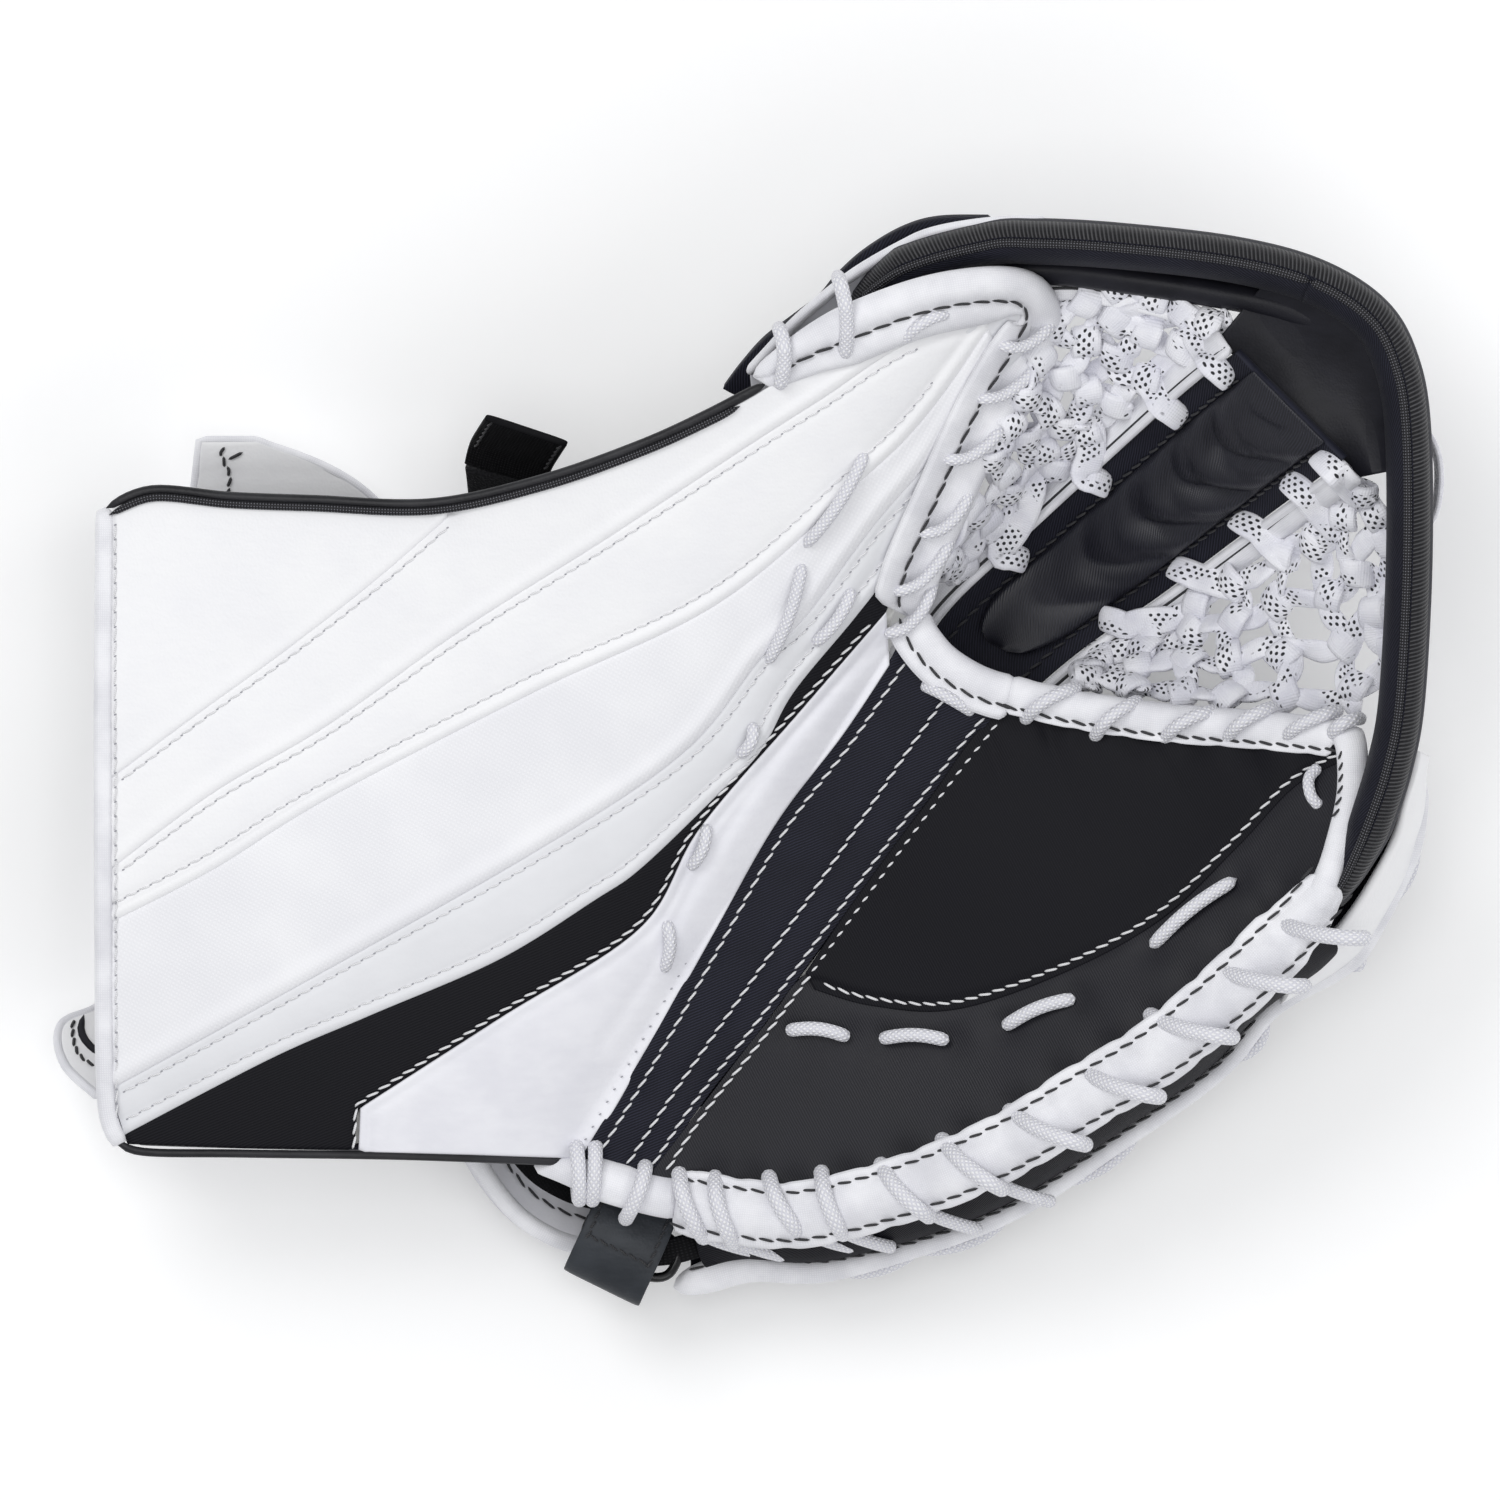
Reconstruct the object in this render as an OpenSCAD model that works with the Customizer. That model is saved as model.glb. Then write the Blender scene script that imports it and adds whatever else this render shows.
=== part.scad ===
// Goalie catch glove for the left hand, lying open on its back with the palm up.
// Units are millimetres. +X runs from the cuff to the finger tips, +Y towards the
// thumb, +Z up out of the palm. The part rests on z = 0.
// Three stiff parts fold like a book: the thumb and cuff half, the spine (gusset and
// pocket T) and the finger half.

/* [Boards] */
// Thickness of the outer leather skins
skin_t = 2; // [1.5:0.1:2.2]
// Thickness of the board foam
foam_t = 8.4; // [6:0.2:9]
// Thickness of the stiff plastic plate in the thumb and cuff board
plate_t = 2; // [1.2:0.1:2.2]
// Thickness of the cloth linings
lining_t = 2.6; // [1.5:0.1:2.8]
// Clear gap between layers and between neighbouring panels
gap = 0.3; // [0.3:0.05:0.4]

/* [Edges] */
// Width of the laced roll round the palm
roll_w = 13; // [11:0.5:13.5]
// Height of the laced roll round the palm
roll_h = 11; // [9:0.5:11]
// Diameter of the taped roll round the thumb and along the pocket mouth
edge_d = 8.6; // [7:0.2:9]
// Diameter of the outer back binding
binding_d = 4.6; // [3.6:0.2:5]
// Diameter of the thin cuff pipings
piping_d = 2.8; // [2:0.2:3]

/* [Pocket] */
// Width of the padded perimeter bar
bar_w = 14; // [12:0.5:15]
// Height of the padded perimeter bar
bar_h = 27; // [22:1:28]
// Diameter of the round leather lace
lace_d = 4.2; // [3.4:0.2:4.4]
// Width of the flat web lace
web_w = 5.2; // [4:0.2:5.6]
// Thickness of the flat web lace
web_t = 1.1; // [0.8:0.1:1.2]

/* [Hand] */
// Wall of the finger and thumb stalls
stall_wall = 1.8; // [1.2:0.1:2.2]
// Wire thickness of the strap ring
ring_d = 3; // [2.4:0.1:3.2]

/* [Hidden] */

// ---- small helpers ----
function unit(v) = v / max(norm(v), 1e-9);
function mixp(a, b, f) = a + (b - a) * f;
// a smooth curve through round points, at t from 0 to len - 1
function cr(P, t) = let (n = len(P), i = min(floor(t), n - 2), f = t - i,
  a = P[max(i - 1, 0)], b = P[i], c = P[i + 1], d = P[min(i + 2, n - 1)])
  0.5 * (2 * b + (c - a) * f + (2 * a - 5 * b + 4 * c - d) * f * f
    + (3 * b - a - 3 * c + d) * f * f * f);
function curve(P, n) = [for (k = [0:n]) cr(P, k * (len(P) - 1) / n)];
// straight runs between the points, for outlines with corners
function run(P, n) = [for (k = [0:n]) let (t = k * (len(P) - 1) / n,
  i = min(floor(t), len(P) - 2)) mixp(P[i], P[i + 1], t - i)];

// ---- heights of the two facing boards ----
// distance along the fold, and out from it on the thumb side and finger side
function along(p) = (p[0] + 46) * 0.539 + (p[1] + 119) * 0.842;
function out_thumb(p) = -(p[0] + 46) * 0.842 + (p[1] + 119) * 0.539;
function out_finger(p) = (p[0] + 23) * 0.808 - (p[1] + 123) * 0.59;
function fold_z(p) = 58 + 0.1 * along(p);
function thumb_z(p) = let (s = max(out_thumb(p) - 6, 0), l = max(along(p) - 60, 0))
  fold_z(p) + 34 * (1 - exp(-s / 45)) + 0.0007 * l * l * (1 - exp(-s / 30))
    - 0.0007 * pow(p[1] + 15, 2) * min(max((-p[0] - 40) / 150, 0), 1);
function palm_z(p) = fold_z(p) + 0.003 * pow(max(out_finger(p), 0), 2);
function face_z(k, p) = k == 1 ? thumb_z(p) : k == 2 ? palm_z(p) : 0;
function lay(k, P, dz) = [for (p = P) [p[0], p[1], face_z(k, p) + dz]];

// ---- solids ----
function total(v) = v * [for (i = v) 1];
// a closed skin through rings of points, turned the right way out by its volume
module loft(rings, closed = false) {
  n = len(rings);
  m = len(rings[0]);
  pts = [for (r = rings) each r];
  last = closed ? n - 1 : n - 2;
  side = [for (i = [0:last], j = [0:m - 1]) let (k = (i + 1) % n, q = (j + 1) % m,
    a = i * m + j, b = i * m + q, c = k * m + j, d = k * m + q)
    each j < m / 2 ? [[a, b, c], [b, d, c]] : [[a, b, d], [a, d, c]]];
  e = (n - 1) * m;
  caps = closed ? [] : [for (k = [0:m / 2 - 2])
    each [[k + 1, k, m - 1 - k], [k + 1, m - 1 - k, m - 2 - k],
      [e + k, e + k + 1, e + m - 1 - k], [e + k + 1, e + m - 2 - k, e + m - 1 - k]]];
  faces = concat(side, caps);
  o = pts[0];
  vol = total([for (f = faces) (pts[f[0]] - o) * cross(pts[f[1]] - o, pts[f[2]] - o)]);
  polyhedron(pts, vol < 0 ? faces : [for (f = faces) [f[0], f[2], f[1]]], convexity = 8);
}
// a board between two plan outlines A and B that follows face k
module plate(k, A, B, top, thick, m = 3, bulge = 0)
  loft([for (i = [0:len(A) - 1]) let (a = A[i], b = B[i]) concat(
    [for (j = [0:m]) let (v = j / m, p = mixp(a, b, v))
      [p[0], p[1], face_z(k, p) + top + bulge * 4 * v * (1 - v)]],
    [for (j = [m:-1:0]) let (p = mixp(a, b, j / m))
      [p[0], p[1], face_z(k, p) + top - thick]])]);
// a board between two space curves, thickened along w and sagging in the middle
module slab(A, B, w, m = 2, sag = 0)
  loft([for (i = [0:len(A) - 1]) concat(
    [for (j = [0:m]) let (v = j / m) mixp(A[i], B[i], v) - [0, 0, sag * 4 * v * (1 - v)]],
    [for (j = [m:-1:0]) let (v = j / m)
      mixp(A[i], B[i], v) - [0, 0, sag * 4 * v * (1 - v)] + w])]);
function frame(P, i, up) = let (t = unit(P[min(i + 1, len(P) - 1)] - P[max(i - 1, 0)]),
  s = unit(cross(t, up))) [s, cross(s, t)];
// a rod of width a and height b along a path
function rod_rings(P, a, b, sides, up) = [for (i = [0:len(P) - 1])
  let (f = frame(P, i, up)) [for (j = [0:sides - 1]) let (q = 360 * (j + 0.5) / sides)
    P[i] + f[0] * a / 2 * cos(q) + f[1] * b / 2 * sin(q)]];
module rod(P, a, b, sides = 8, up = [0, 0, 1]) loft(rod_rings(P, a, b, sides, up));
// a flat strap of width a and thickness b along a path
module strap(P, a, b, up = [0, 0, 1])
  loft([for (i = [0:len(P) - 1]) let (f = frame(P, i, up))
    [for (c = [[-1, -1], [1, -1], [1, 1], [-1, 1]])
      P[i] + f[0] * a / 2 * c[0] + f[1] * b / 2 * c[1]]]);
// a sleeve open at both ends
module sleeve(P, a, b, wall) {
  inner = rod_rings(P, a - 2 * wall, b - 2 * wall, 12, [0, 0, 1]);
  loft(concat(rod_rings(P, a, b, 12, [0, 0, 1]),
    [for (i = [len(P) - 1:-1:0]) inner[i]]), true);
}
// one lace wound round a roll, from place t0 to t1 along the roll's path
module wound(P, a, b, t0, t1, turns, d, per = 9, start = 0) {
  n = turns * per;
  C = [for (i = [0:n]) let (t = t0 + (t1 - t0) * i / n, c = cr(P, t),
    g = unit(cr(P, min(t + 0.05, len(P) - 1.001)) - cr(P, max(t - 0.05, 0))),
    s = unit(cross(g, [0, 0, 1])), u = cross(s, g), q = start + 360 * i / per)
    [c + s * a / 2 * cos(q) + u * b / 2 * sin(q), g]];
  L = [for (c = C) c[0]];
  loft([for (i = [0:n]) let (t = unit(L[min(i + 1, n)] - L[max(i - 1, 0)]),
    s = unit(cross(t, C[i][1])), u = cross(s, t))
    [for (j = [0:5]) L[i] + (s * cos(60 * j) + u * sin(60 * j)) * d / 2]]);
}
// a short stitch of lace that rises out of face k at a and goes back in at b
module stitch(k, a, b, d) {
  P = [for (i = [0:6]) let (v = i / 6, p = mixp(a, b, v))
    [p[0], p[1], face_z(k, p) - 2 + 4.4 * pow(sin(180 * v), 0.6)]];
  rod(P, d, d, 6);
}

// ---- plan lines of the thumb and cuff half ----
top_edge = [[-188, 77], [-176, 81], [-153, 79], [-128, 78], [-92, 77], [-59, 84],
  [-30, 94], [-10, 103], [7, 112], [24, 122], [44, 131], [61, 136.5], [76, 138]];
seam_1 = [[-189, -4], [-162, 16], [-137, 34], [-110, 55], [-88, 74]];
seam_2 = [[-189, -31], [-158, -8], [-124, 12], [-83, 41], [-40, 68], [6, 98],
  [25, 110], [48, 125], [73, 134]];
seam_3 = [[-189, -47], [-158, -31], [-124, -10], [-62, 22], [-6, 49], [37, 86],
  [55, 104], [75, 131]];
seam_4 = [[-189, -97], [-140, -70], [-62, -26], [-17, 4], [6, 32], [19, 44],
  [40, 72], [60, 96], [76, 126]];
seam_5 = [[-185, -111], [-141, -88], [-111, -75], [-72, -58], [-43, -40], [-30, -31],
  [-8, -10], [6, 4], [16, 22], [35, 45], [51, 66], [60, 83], [70, 107], [79, 123]];
patch_edge = [[-114, -103], [-72, -76], [-30, -49], [-12, -19], [18, 16], [44, 46]];
break_line = [[-46, -118], [-27, -85], [-8, -51], [11, -17.5], [31, 9], [45, 30]];
thumb_roll = [[4, 116], [22, 128], [42, 137], [60, 142.5], [78, 144.5], [88, 142],
  [92, 134], [89, 125], [84, 116], [78, 106], [72, 94], [65.5, 79], [60, 67],
  [55.5, 56], [52.5, 47]];

// ---- plan lines of the spine and finger half ----
gusset_a = [for (p = break_line) p + [1.2, -0.5]];
gusset_m = [[-33, -119], [-20, -99], [5, -63], [29, -28], [47, -1], [61, 19]];
gusset_b = [[-23.7, -120.5], [-12, -103], [9, -76], [44, -28], [64, -1], [78.5, 17]];
patch_in = [[21, -63.5], [34, -44], [56, -14], [80.5, 16], [107, 10.5], [150, 6], [175, 3.5]];
patch_out = [[22.5, -67], [40, -72], [65, -73], [97, -62], [126, -46], [150, -25],
  [174.5, -1]];
skin_in = [[-22.6, -120], [-10.5, -104], [10, -77.5], [21, -69], [54, -76], [97, -65],
  [145, -33], [174.5, -4]];
skin_out = [[-20, -123.5], [0, -127], [17, -128], [45, -120.5], [74, -109], [121, -80],
  [158, -45.5], [169, -26]];
foam_in = [[-22, -119], [4, -83], [30, -48], [56, -13], [80, 14], [107, 9.5], [150, 5],
  [173.5, 2]];
foam_out = [[-19.5, -122.5], [18, -127], [60, -114], [98, -93.5], [130, -72],
  [157, -46], [168, -28], [173.5, -5]];
roll_path = [[-20, -131], [-4, -134], [18, -135.5], [48, -128], [78, -115.5],
  [102, -100.5], [126, -85.5], [147, -67.5], [165, -49.5], [172, -41]];
pocket_path = [[82, 22.5], [92, 20], [107, 17], [129, 14], [155, 12], [180, 9.5]];
side_path = [[178.8, 3], [178.8, -8], [175, -21], [169, -31]];
back_edge = [[-15, -157, 31], [2, -152, 33], [30, -152, 35], [78, -137, 41],
  [116, -113, 48], [145, -92, 54], [161, -73, 59], [180, -61, 64], [188, -52, 68],
  [201, -25, 76], [205, -4, 80]];
base_edge = [[-14, -112, 5.2], [0, -112, 5.2], [30, -108, 5.2], [66, -94, 5.2], [92, -78, 5.2],
  [112, -64, 6], [126, -52, 10], [138, -42, 15], [146, -34, 20], [156, -22, 30],
  [164, -10, 40]];

// ---- thumb and cuff half ----
module cuff_band_a() color("white")
  plate(1, curve([for (i = [0:4]) top_edge[i]], 12),
    curve(seam_1, 12), 0, skin_t, 3, 0.6);
module cuff_band_b() color("white") {
  A = concat(curve([for (p = seam_1) p - [0.1, 0.5]], 9),
    curve([for (i = [4.5:0.5:11.5]) cr(top_edge, i)], 14));
  plate(1, A, curve([for (p = seam_2) p + [0, gap]], 24), 0, skin_t, 3, 0.8);
}
module cuff_band_c() color("white")
  plate(1, curve([for (p = seam_2) p - [0, gap]], 20), curve(seam_3, 20), 0, skin_t, 3, 0.8);
module cuff_band_d() color("white")
  plate(1, curve([for (p = seam_3) p - [0, 2 * gap]], 20),
    curve([for (p = seam_4) p + [-gap, gap]], 20), 0, skin_t, 3, 0.9);
module cuff_band_e() color("white")
  plate(1, curve([for (p = seam_4) p + [gap, -gap]], 26),
    curve(seam_5, 26), 0, skin_t, 2, 0.6);
module cuff_side_panel() color("dimgray")
  plate(1, curve([for (i = [0:11]) seam_5[i] + [0.3, -0.6]], 22),
    concat(run([[-184, -114], [-150, -115], [-115.4, -115.5], [-114.9, -103.5]], 6),
      run([for (p = patch_edge) p + [-0.5, 0.7]], 15)), 0, skin_t, 2);
module cuff_patch() color("white")
  plate(1, run(patch_edge, 15),
    concat(run([[-112.5, -116], [-80, -117], [-50, -118]], 5), curve(break_line, 9)),
    0, skin_t, 2);
cuff_upper = [[-187, 75], [-128, 76], [-92, 75], [-70, 78], [-56, 82.5], [-43, 86.5],
  [-24, 94], [7, 109], [34, 124], [60, 133], [76, 135], [83, 132]];
cuff_lower = [[-183, -111], [-150, -113], [-100, -114], [-75, -114.5], [-52, -113.5],
  [-31, -82], [-12, -51], [7.5, -16.5], [27, 9.5], [41, 31], [53, 66], [75, 117]];
module cuff_layer(top, thick)
  plate(1, curve(cuff_upper, 20), curve(cuff_lower, 20), top, thick, 9);
module cuff_foam() color("lightgray") cuff_layer(-skin_t - 1, foam_t - 0.7);
module cuff_plate() color("gray") cuff_layer(-skin_t - foam_t - 2 * gap, plate_t);
module cuff_lining() color("black")
  cuff_layer(-skin_t - foam_t - plate_t - 3 * gap, lining_t);
module cuff_end_binding() color("white")
  strap(lay(1, curve([[-190.6, 76], [-191.2, 20], [-191.2, -50], [-190.6, -100],
    [-187, -113]], 12), -7.2), 2.2, 16);
module cuff_top_piping() color("black")
  rod(lay(1, curve([[-189, 79.5], [-176, 83.4], [-153, 81.4], [-128, 80.4], [-92, 79.4],
    [-59, 86.4], [-30, 96.6], [-10, 105.6], [-1, 110]], 20), -1), piping_d, piping_d, 6);
module cuff_bottom_piping() color("black")
  rod(lay(1, curve([[-185, -116.8], [-150, -117.5], [-100, -118.6], [-49, -120.6]], 10), -1),
    piping_d, piping_d, 6);
module thumb_edge_roll() color("white")
  rod(lay(1, curve(thumb_roll, 34), -2.5), edge_d, edge_d, 10);
module thumb_edge_lacing() color("white")
  wound(lay(1, thumb_roll, -2.5), edge_d + lace_d + 0.6, edge_d + lace_d + 0.6,
    6.2, 13.6, 8, lace_d, 9, 120);
module thumb_face_lacing() color("white") {
  stitch(1, [48.5, 126.5], [63, 135], lace_d - 0.6);
  stitch(1, [38, 94], [19, 65], lace_d - 0.6);
  stitch(1, [19, 61], [8, 30], lace_d - 0.6);
  stitch(1, [34, 53], [22, 36], lace_d - 0.6);
  stitch(1, [4, 12], [0, 3], lace_d - 0.6);
  stitch(1, [-10, -18], [-15, -31], lace_d - 0.6);
  stitch(1, [-22, -47], [-23, -62], lace_d - 0.6);
}
stall_path = [[2, 56], [25, 78], [46, 97], [63, 112]];
module thumb_stall() color("black")
  sleeve(lay(1, curve(stall_path, 8), -34), 28, 24, stall_wall);
guard_left = [[-163, 96], [-176, 60], [-188, 10], [-199, -40], [-207, -78], [-199, -98]];
guard_right = [[-108, 97], [-80, 70], [-72, 10], [-72, -40], [-76, -78], [-92, -98]];
function guard_z(p) = 0.0000262 * pow(abs(p[1]), 3) * 1.6;
module guard_layer(top, thick, inset) {
  L = curve(guard_left, 16);
  R = curve(guard_right, 16);
  loft([for (i = [0:16]) let (a = mixp(L[i], R[i], inset), b = mixp(R[i], L[i], inset))
    concat([for (j = [0:3]) let (p = mixp(a, b, j / 3)) [p[0], p[1], guard_z(p) + top]],
      [for (j = [3:-1:0]) let (p = mixp(a, b, j / 3))
        [p[0], p[1], guard_z(p) + top - thick]])]);
}
module wrist_guard_shell() color("white") guard_layer(3, 3, 0);
module wrist_guard_foam() color("lightgray") guard_layer(3 + gap + 7, 7, 0.01);
module wrist_guard_lining() color("black")
  guard_layer(3 + 2 * gap + 7 + lining_t, lining_t, 0.02);
strap_path = [[-69, 20, 15.6], [-69, 45, 19.2], [-69, 64, 28], [-69, 77, 38.5], [-69.5, 87, 50]];
module wrist_strap() color("dimgray") strap(curve(strap_path, 12), 2.2, 26, [1, 0, 0]);
module wrist_strap_end() color("black")
  strap(curve([[-69.6, 88.2, 51.8], [-70, 93, 60], [-69, 97, 72], [-68, 99, 84]], 5),
    2.2, 26, [1, 0, 0]);

// ---- spine: gusset, T and its bindings ----
module gusset_strip_a() color("dimgray")
  plate(2, curve(gusset_a, 14), curve([for (p = gusset_m) p - [gap, 0]], 14), 0, skin_t, 2, 0.4);
module gusset_strip_b() color("dimgray")
  plate(2, curve([for (p = gusset_m) p + [gap, 0]], 14), curve(gusset_b, 14), 0, skin_t, 2, 0.4);
module gusset_foam() color("lightgray")
  plate(2, curve([for (p = gusset_a) p + [1, 0.5]], 12),
    curve([for (p = gusset_b) p + [-1, 0.5]], 12), -skin_t - gap, 6, 3);
module gusset_top_binding() color("white")
  rod(lay(2, curve([[55, 40], [61, 32.5], [69, 27], [76, 24]], 8), -1), edge_d, edge_d, 10);
module heel_roll() color("white")
  rod(lay(2, curve([[-44, -126.5], [-34, -128.5], [-24, -130]], 6), -1.5),
    roll_w, roll_h, 12);
t_left = [[50, 25, 55], [62, 45, 47], [86, 68, 52], [112, 92, 76], [134, 112, 104],
  [148, 123, 126]];
t_right = [[76, 11, 52], [101, 33, 42], [128, 52, 50], [152, 70, 76], [168, 82, 104],
  [180, 91, 128]];
module t_strap() color("dimgray")
  slab(curve(t_left, 18), curve(t_right, 18), [0, 0, -2.6], 4, 5);
module t_pad() color("dimgray") {
  A = curve(t_left, 18);
  B = curve(t_right, 18);
  slab([for (i = [3:17]) mixp(A[i], B[i], 0.2) + [0, 0, 0.3 - 3.2]],
    [for (i = [3:17]) mixp(A[i], B[i], 0.8) + [0, 0, 0.3 - 3.2]], [0, 0, 3], 3, 1.8);
}
module t_binding_left() color("white")
  rod([for (p = curve(t_left, 20)) p + [-2.3, 2.3, 0]], 4, 4, 6);
module t_binding_right() color("white")
  rod([for (p = curve(t_right, 20)) p + [2.3, -2.3, 0]], 4, 4, 6);
module corner_patch() color("dimgray")
  slab(curve([[150, 125, 129], [160, 115, 127], [171, 105, 127], [181, 94, 131]], 8),
    curve([[160, 136, 136], [173, 132, 137], [184, 122, 137], [189, 104, 137]], 8),
    [0, 0, -2.6], 2, 2);

// ---- perimeter bar ----
bar = [[34, 138, 104], [49, 149, 108], [74, 156, 114], [90, 156.5, 118], [114, 155, 123],
  [147, 151, 127], [171, 144.6, 128], [188, 134, 128], [196, 120, 128], [199.5, 100, 127],
  [200, 61, 123], [198, 20, 116], [194.5, 0, 112], [189, -17, 108], [182, -30, 105]];
module perimeter_bar() color("dimgray") rod(curve(bar, 42), bar_w, bar_h, 12);
// the ribbed piping lies along the bar's inner top edge
module bar_piping() color("gray") {
  P = curve([for (i = [1:13]) bar[i]], 36);
  rod([for (i = [0:36]) P[i] + frame(P, i, [0, 0, 1])[0] * 3.6
    + [0, 0, bar_h / 2 + 0.5]], 3, 3, 6);
}

// ---- woven lace webs ----
// a point on a web between an inner and an outer edge, sagging in the middle
function web_at(A, B, u, v, sag) = mixp(cr(A, u * (len(A) - 1)), cr(B, u * (len(B) - 1)), v)
  - [0, 0, sag * 4 * v * (1 - v)];
function web_n(A, B, u, v, sag) = unit(cross(
  web_at(A, B, min(u + 0.02, 1), v, sag) - web_at(A, B, max(u - 0.02, 0), v, sag),
  web_at(A, B, u, min(v + 0.02, 1), sag) - web_at(A, B, u, max(v - 0.02, 0), sag)));
// one web lace from place a to place b, over and under at n crossings
module web_lace(A, B, a, b, n, odd, sag) {
  S = concat([0.1], [for (k = [0:n - 1], e = [-0.34, 0.34]) k + 0.5 + e], [n - 0.1]);
  C = [for (k = S) let (w = mixp(a, b, k / n))
    [web_at(A, B, w[0], w[1], sag), web_n(A, B, w[0], w[1], sag)]];
  m = len(S) - 1;
  L = [for (i = [0:m]) let (k = min(max(floor(S[i]), 0), n - 1))
    C[i][0] + C[i][1] * ((k + odd) % 2 == 0 ? 1.5 : -1.5)];
  loft([for (i = [0:m]) let (t = unit(C[min(i + 1, m)][0] - C[max(i - 1, 0)][0]),
    s = unit(cross(t, C[i][1])), u = cross(s, t))
    [for (c = [[-1, -1], [1, -1], [1, 1], [-1, 1]])
      L[i] + s * web_w / 2 * c[0] + u * web_t / 2 * c[1]]]);
}
module web(A, B, nu, nv, sag) {
  for (i = [0:nu - 1])
    web_lace(A, B, [(i + 0.5) / nu, 0], [(i + 0.5) / nu, 1], nv, i % 2, sag);
  for (j = [0:nv - 1])
    web_lace(A, B, [0, (j + 0.5) / nv], [1, (j + 0.5) / nv], nu, (j + 1) % 2, sag);
}
thumb_web_in = [[64, 56, 52], [84, 76, 58], [107, 98, 78], [128, 116, 102], [148, 131, 122]];
thumb_web_out = [[69.5, 62, 84], [80.5, 83, 98], [91.5, 105, 108], [101, 128, 114],
  [124, 144, 118]];
finger_web_in = [[113, 35, 45], [132, 47, 55], [157, 64, 78], [173, 75, 101], [185, 85, 121]];
finger_web_out = [[113, 24, 72], [130, 23, 74], [155, 21, 84], [179, 24, 96],
  [189, 60, 112]];
module thumb_web() color("white") web(thumb_web_in, thumb_web_out, 7, 3, 4);
module finger_web() color("white") web(finger_web_in, finger_web_out, 7, 3, 6);

// ---- finger half ----
module palm_patch() color("dimgray")
  plate(2, curve(patch_in, 20), curve(patch_out, 20), 0, skin_t, 4, 0.6);
module palm_skin() color("dimgray")
  plate(2, curve(skin_in, 24), curve(skin_out, 24), 0, skin_t, 4, 0.6);
module palm_foam() color("lightgray")
  plate(2, curve(foam_in, 18), curve(foam_out, 18), -skin_t - gap, foam_t - 2, 5);
module palm_lining() color("black")
  plate(2, curve(foam_in, 18), curve(foam_out, 18), -skin_t - foam_t + 2 - 2 * gap,
    lining_t, 5);
module pocket_edge_roll() color("white")
  rod(lay(2, curve(pocket_path, 16), -1), edge_d, edge_d, 10);
module pocket_edge_lacing() color("white")
  wound(lay(2, pocket_path, -1), edge_d + lace_d + 0.6, edge_d + lace_d + 0.6,
    0.5, 4.7, 7, lace_d, 9, 200);
module palm_side_binding() color("white")
  rod(lay(2, curve(side_path, 8), -1.5), 4, 4, 8);
module palm_roll() color("white")
  rod(lay(2, curve(roll_path, 30), -1.5), roll_w, roll_h, 12);
module palm_roll_lacing() color("white")
  wound(lay(2, roll_path, -1.5), roll_w + lace_d + 0.6, roll_h + lace_d + 0.6,
    0.5, 8.6, 14, lace_d, 9, 90);
module palm_face_lacing() color("white") {
  stitch(2, [14, -80], [33, -82], lace_d);
  stitch(2, [42, -82.5], [63, -83], lace_d);
  stitch(2, [79, -79], [101, -70], lace_d);
  stitch(2, [123, -55], [149, -34], lace_d);
}
wall_top = concat(lay(2, [[-13, -132.5], for (i = [1:8]) roll_path[i]], -8),
  [[177, -40, 83], [190, -25, 82], [199, -8, 83]]);
wall_foot = concat([[-10, -155, 32]], [for (i = [1:10]) back_edge[i]]);
module finger_wall() color("dimgray") {
  n = 26;
  R = curve(wall_top, n);
  E = curve(wall_foot, n);
  loft([for (i = [0:n]) let (g = unit(R[min(i + 1, n)] - R[max(i - 1, 0)]),
    o = unit([g[1], -g[0], 0]), a = R[i] + o * 5, b = R[i] - o * 1.5 - [0, 0, 0.5])
    [a, mixp(a, E[i], 0.5) + o * 2, E[i] - o * 3 + [0, 0, 3], E[i] - o * 9 + [0, 0, 3],
      mixp(b, E[i] - o * 9, 0.5) + o * 1, b]]);
}
module back_binding() color("white") rod(curve(back_edge, 34), binding_d, binding_d, 8);
module back_board() color("dimgray") {
  n = 24;
  E = curve(back_edge, n);
  B = curve(base_edge, n);
  loft([for (i = [0:n]) let (e = mixp(E[i], B[i], 0.08) - [0, 0, 1],
    c = mixp(E[i], B[i], 0.55) - [0, 0, 4 + 3 * sin(180 * i / n)])
    [e, [c[0], c[1], max(c[2], 1)], [B[i][0], B[i][1], B[i][2] - 5],
      B[i], [c[0], c[1], max(c[2], 1) + 5], e + [0, 0, 4.2]]]);
}
module pocket_wall() color("dimgray")
  slab(curve([[86, 11.5, 61], [108, 7, 64], [140, 3, 74], [163, 1, 84], [175, -1, 88]], 12),
    curve([[86, 6, 12.3], [110, 4, 12.3], [140, 0, 20], [162, -2, 44], [175, -4, 58]], 12),
    [0, -4, 0], 3, 0);
module hand_back_pad() color("lightgray")
  plate(0, curve([[-42, -96], [-15, -106], [30, -102], [66, -88], [104, -64], [126, -45]], 14),
    curve([[-42, 10], [-5, 12], [30, 8], [66, 2], [104, -4], [126, -10]], 14), 11.5, 11.5, 3);
module index_stall() color("black")
  sleeve(curve([[22, -12, 34], [60, -14, 35], [100, -16, 41], [130, -18, 51],
    [149, -20, 62]], 10), 24, 20, stall_wall);
module middle_stall() color("black")
  sleeve(curve([[20, -39, 34], [60, -41, 35], [100, -43, 40], [126, -43, 48],
    [142, -43, 57]], 10), 24, 20, stall_wall);
module ring_stall() color("black")
  sleeve(curve([[18, -66, 32], [50, -68, 32], [85, -69, 36], [108, -68, 42]], 9),
    24, 20, stall_wall);
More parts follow.
